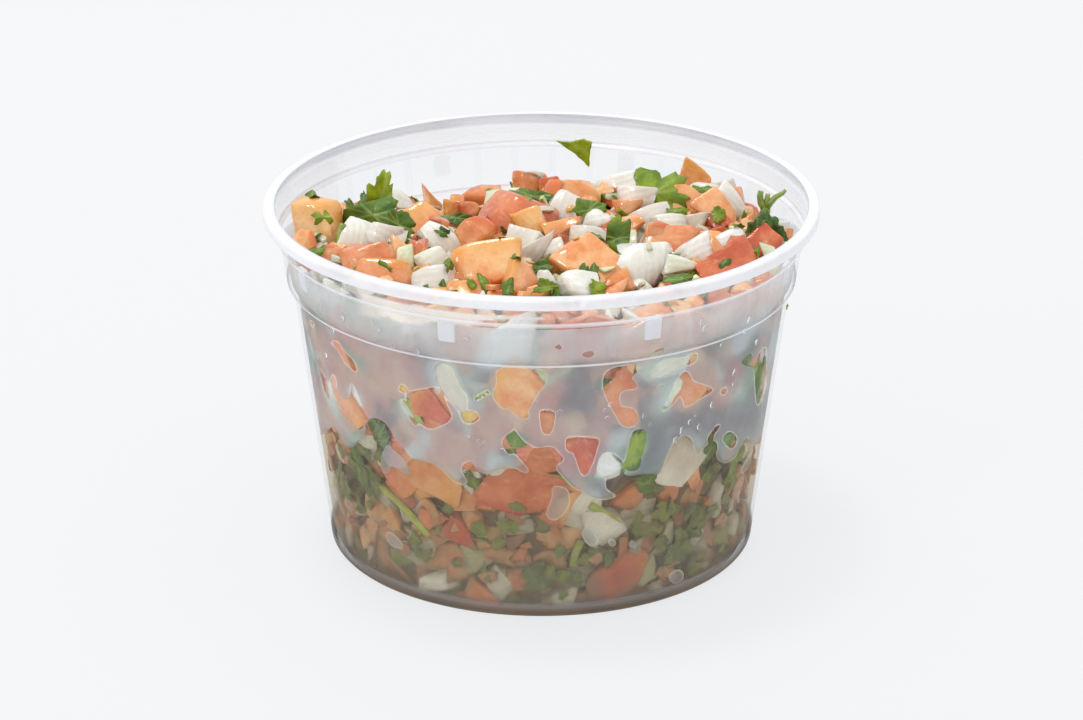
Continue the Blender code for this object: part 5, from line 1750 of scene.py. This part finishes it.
# %% Droplets
water, tree = new_material("water")
ripple = bump(tree, noise(tree, 700.0, 2.0, 0.5, object_place(tree)), 0.15, 0.0002)
finish_with(tree, principled(tree, (0.97, 0.98, 1.0, 1), 0.03, {
    "IOR": 1.33, "Transmission Weight": 1.0, "Normal": ripple,
}))
DROPS = [
    (372, 322), (378, 330), (392, 347), (465, 340), (470, 337), (468, 437), (480, 441), (503, 452),
    (605, 411), (608, 418), (611, 405), (690, 422), (696, 415), (699, 427), (675, 440), (683, 431),
    (705, 328), (702, 322), (735, 372), (750, 320), (745, 331), (733, 384), (722, 345), (326, 355),
    (333, 330), (342, 318), (416, 352), (650, 425), (645, 416), (560, 412), (536, 402), (757, 342),
    (712, 405),
]
def outside_gap(points):
    """How far each point lies outside the outer face of the wall and the band."""
    z = points[:, 2]
    return radius_of(points) - np.where(z > BAND_BOTTOM + 0.6, band_inner(z) + WALL, body_radius(z))


drops = Batch()
rng = np.random.default_rng(12)
for column, row in DROPS:
    touch = first_seen(column, row, outside_gap)
    angle = math.atan2(touch[1], touch[0])
    cube, quads = CUBES[6]
    points = cube / np.linalg.norm(cube, axis=1, keepdims=True)
    size = rng.uniform(0.35, 0.62)
    points = points * (size, size * rng.uniform(1.0, 1.9), 0.5 * size)
    points[:, 0] += 0.35 * points[:, 1] ** 2 / size * rng.choice((-1, 1))
    points[:, 0] *= 1 - 0.3 * points[:, 1] / (2 * size)
    drops.add(moved(points, Matrix.Translation(touch) @ against_wall(angle, rng.uniform(-50, 50))), quads)
drops = drops.build("wall_droplets", water)

# %% [markdown]
# ## The leaf on the wall
#
# One scrap of leaf sticks to the wall above the heap at the back. Its outline is taken to the
# wall's curve, with a fold and a curl of its own.

# %% Stuck leaf
STUCK_AT = (577, 152)
STUCK_OUTLINE = ((-4.6, 2.6), (-1.6, 2.4), (1.4, 3.3), (3.6, 2.7), (3.1, 0.4), (2.9, -3.2), (-0.2, -0.4))
LEAF_GAP = 0.7
seat = band_inner(SEAT_LEVEL) - LUG[2] - LEAF_GAP
line = sight_line(*STUCK_AT)
beyond = line[(line[:, 1] > 0) & (radius_of(line) > seat)][0]
heading = math.atan2(beyond[1], beyond[0])
corners = np.array(STUCK_OUTLINE)
sides = np.roll(corners, -1, 0) - corners
outline = np.stack([corners + sides * k / 5 for k in range(5)], axis=1).reshape(-1, 2)
outline = outline + 0.06 * np.sin(np.arange(len(outline)) * 1.9)[:, None]
centre = outline.mean(axis=0)
rings, veins = [], []
for depth in (0.0, 0.35):
    for share in (1.0, 0.8, 0.6, 0.4, 0.2, 0.02):
        flat = centre + (outline - centre) * share
        curl = 0.12 * np.cos(0.9 * flat[:, 0]) + 0.06 * np.sin(2.2 * flat[:, 1])
        reach = seat - depth - np.abs(curl)
        rings.append(ring(reach, heading - flat[:, 0] / seat, beyond[2] + flat[:, 1]))
        spine = np.abs(flat[:, 1] + 0.55 * flat[:, 0] - 1.6) / 3
        side = np.abs(flat[:, 1] - 1.4 * flat[:, 0] + 2.2) / 4
        veins.append(np.clip(np.minimum(spine, side), 0, 1))
half, count = len(rings) // 2, len(outline)
faces = []
for sheet in (0, half):
    for k in range(half - 1):
        quads = between((sheet + k) * count, (sheet + k + 1) * count, count)
        faces += quads if sheet else [quad[::-1] for quad in quads]
    inner = [(sheet + half - 1) * count + i for i in range(count)]
    faces.append(inner if sheet else inner[::-1])
faces += between(0, half * count, count)
points = np.concatenate(rings)
facts = {"vein": np.concatenate(veins), "shade": np.full(len(points), 0.05), "soak": np.zeros(len(points)),
         "grain": points}
stuck = mesh_object("leaf_on_wall", points, faces, facts, leaf_green)
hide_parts("stuck_leaf")

# %% [markdown]
# ## Floor and light
#
# The object stands on a plain, almost white surface in soft light from all sides, as in a light
# tent. The world gives the even part. A small lamp above gives the faint shadow under the tub, and
# a second one at the front left adds small lights on the wet pieces. Sizes here are in metres.

# %% Floor
floor_paint, tree = new_material("floor")
place = object_place(tree)
tone = mix_colour(tree, noise(tree, 3.0, 2.0, 0.5, place), (0.142, 0.144, 0.147, 1), (0.136, 0.138, 0.141, 1))
finish_with(tree, principled(tree, tone, 0.7, {
    "Specular IOR Level": 0.2, "Emission Color": (0.97, 0.985, 1.0, 1), "Emission Strength": 0.745,
}))
mesh = bpy.data.meshes.new("floor")
mesh.from_pydata([(-4, -4, 0), (4, -4, 0), (4, 4, 0), (-4, 4, 0)], [], [(0, 1, 2, 3)])
mesh.materials.append(floor_paint)
floor = bpy.data.objects.new("floor", mesh)
scene.collection.objects.link(floor)
floor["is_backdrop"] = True

# %% Light
world = bpy.data.worlds.new("light_tent")
scene.world = world
world.use_nodes = True
background = world.node_tree.nodes["Background"].inputs
background["Color"].default_value = (0.965, 0.98, 1.0, 1)
background["Strength"].default_value = 0.925


def area_lamp(name, place, aim, size, power):
    lamp = bpy.data.objects.new(name, bpy.data.lights.new(name, "AREA"))
    lamp.data.shape = "DISK"
    lamp.data.size = size
    lamp.data.energy = power
    lamp.location = place
    lamp.rotation_euler = (Vector(aim) - Vector(place)).to_track_quat("-Z", "Y").to_euler()
    scene.collection.objects.link(lamp)


area_lamp("overhead", (-0.3, 0.1, 1.6), (0, 0, 0.05), 0.4, 7.5)
area_lamp("front_left", (-0.7, -0.8, 0.7), (0, 0, 0.04), 0.2, 1.6)
scene.view_settings.view_transform = "Standard"
scene.view_settings.look = "None"
print("lamps placed")

# %% Compare the sizes and finish
low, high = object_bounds()
grown_high = [round((b - a) * 1000, 2) for a, b in zip(cad_box[1], high)]
grown_low = [round((a - b) * 1000, 2) for a, b in zip(cad_box[0], low)]
print("grown by, mm:", grown_high, grown_low)
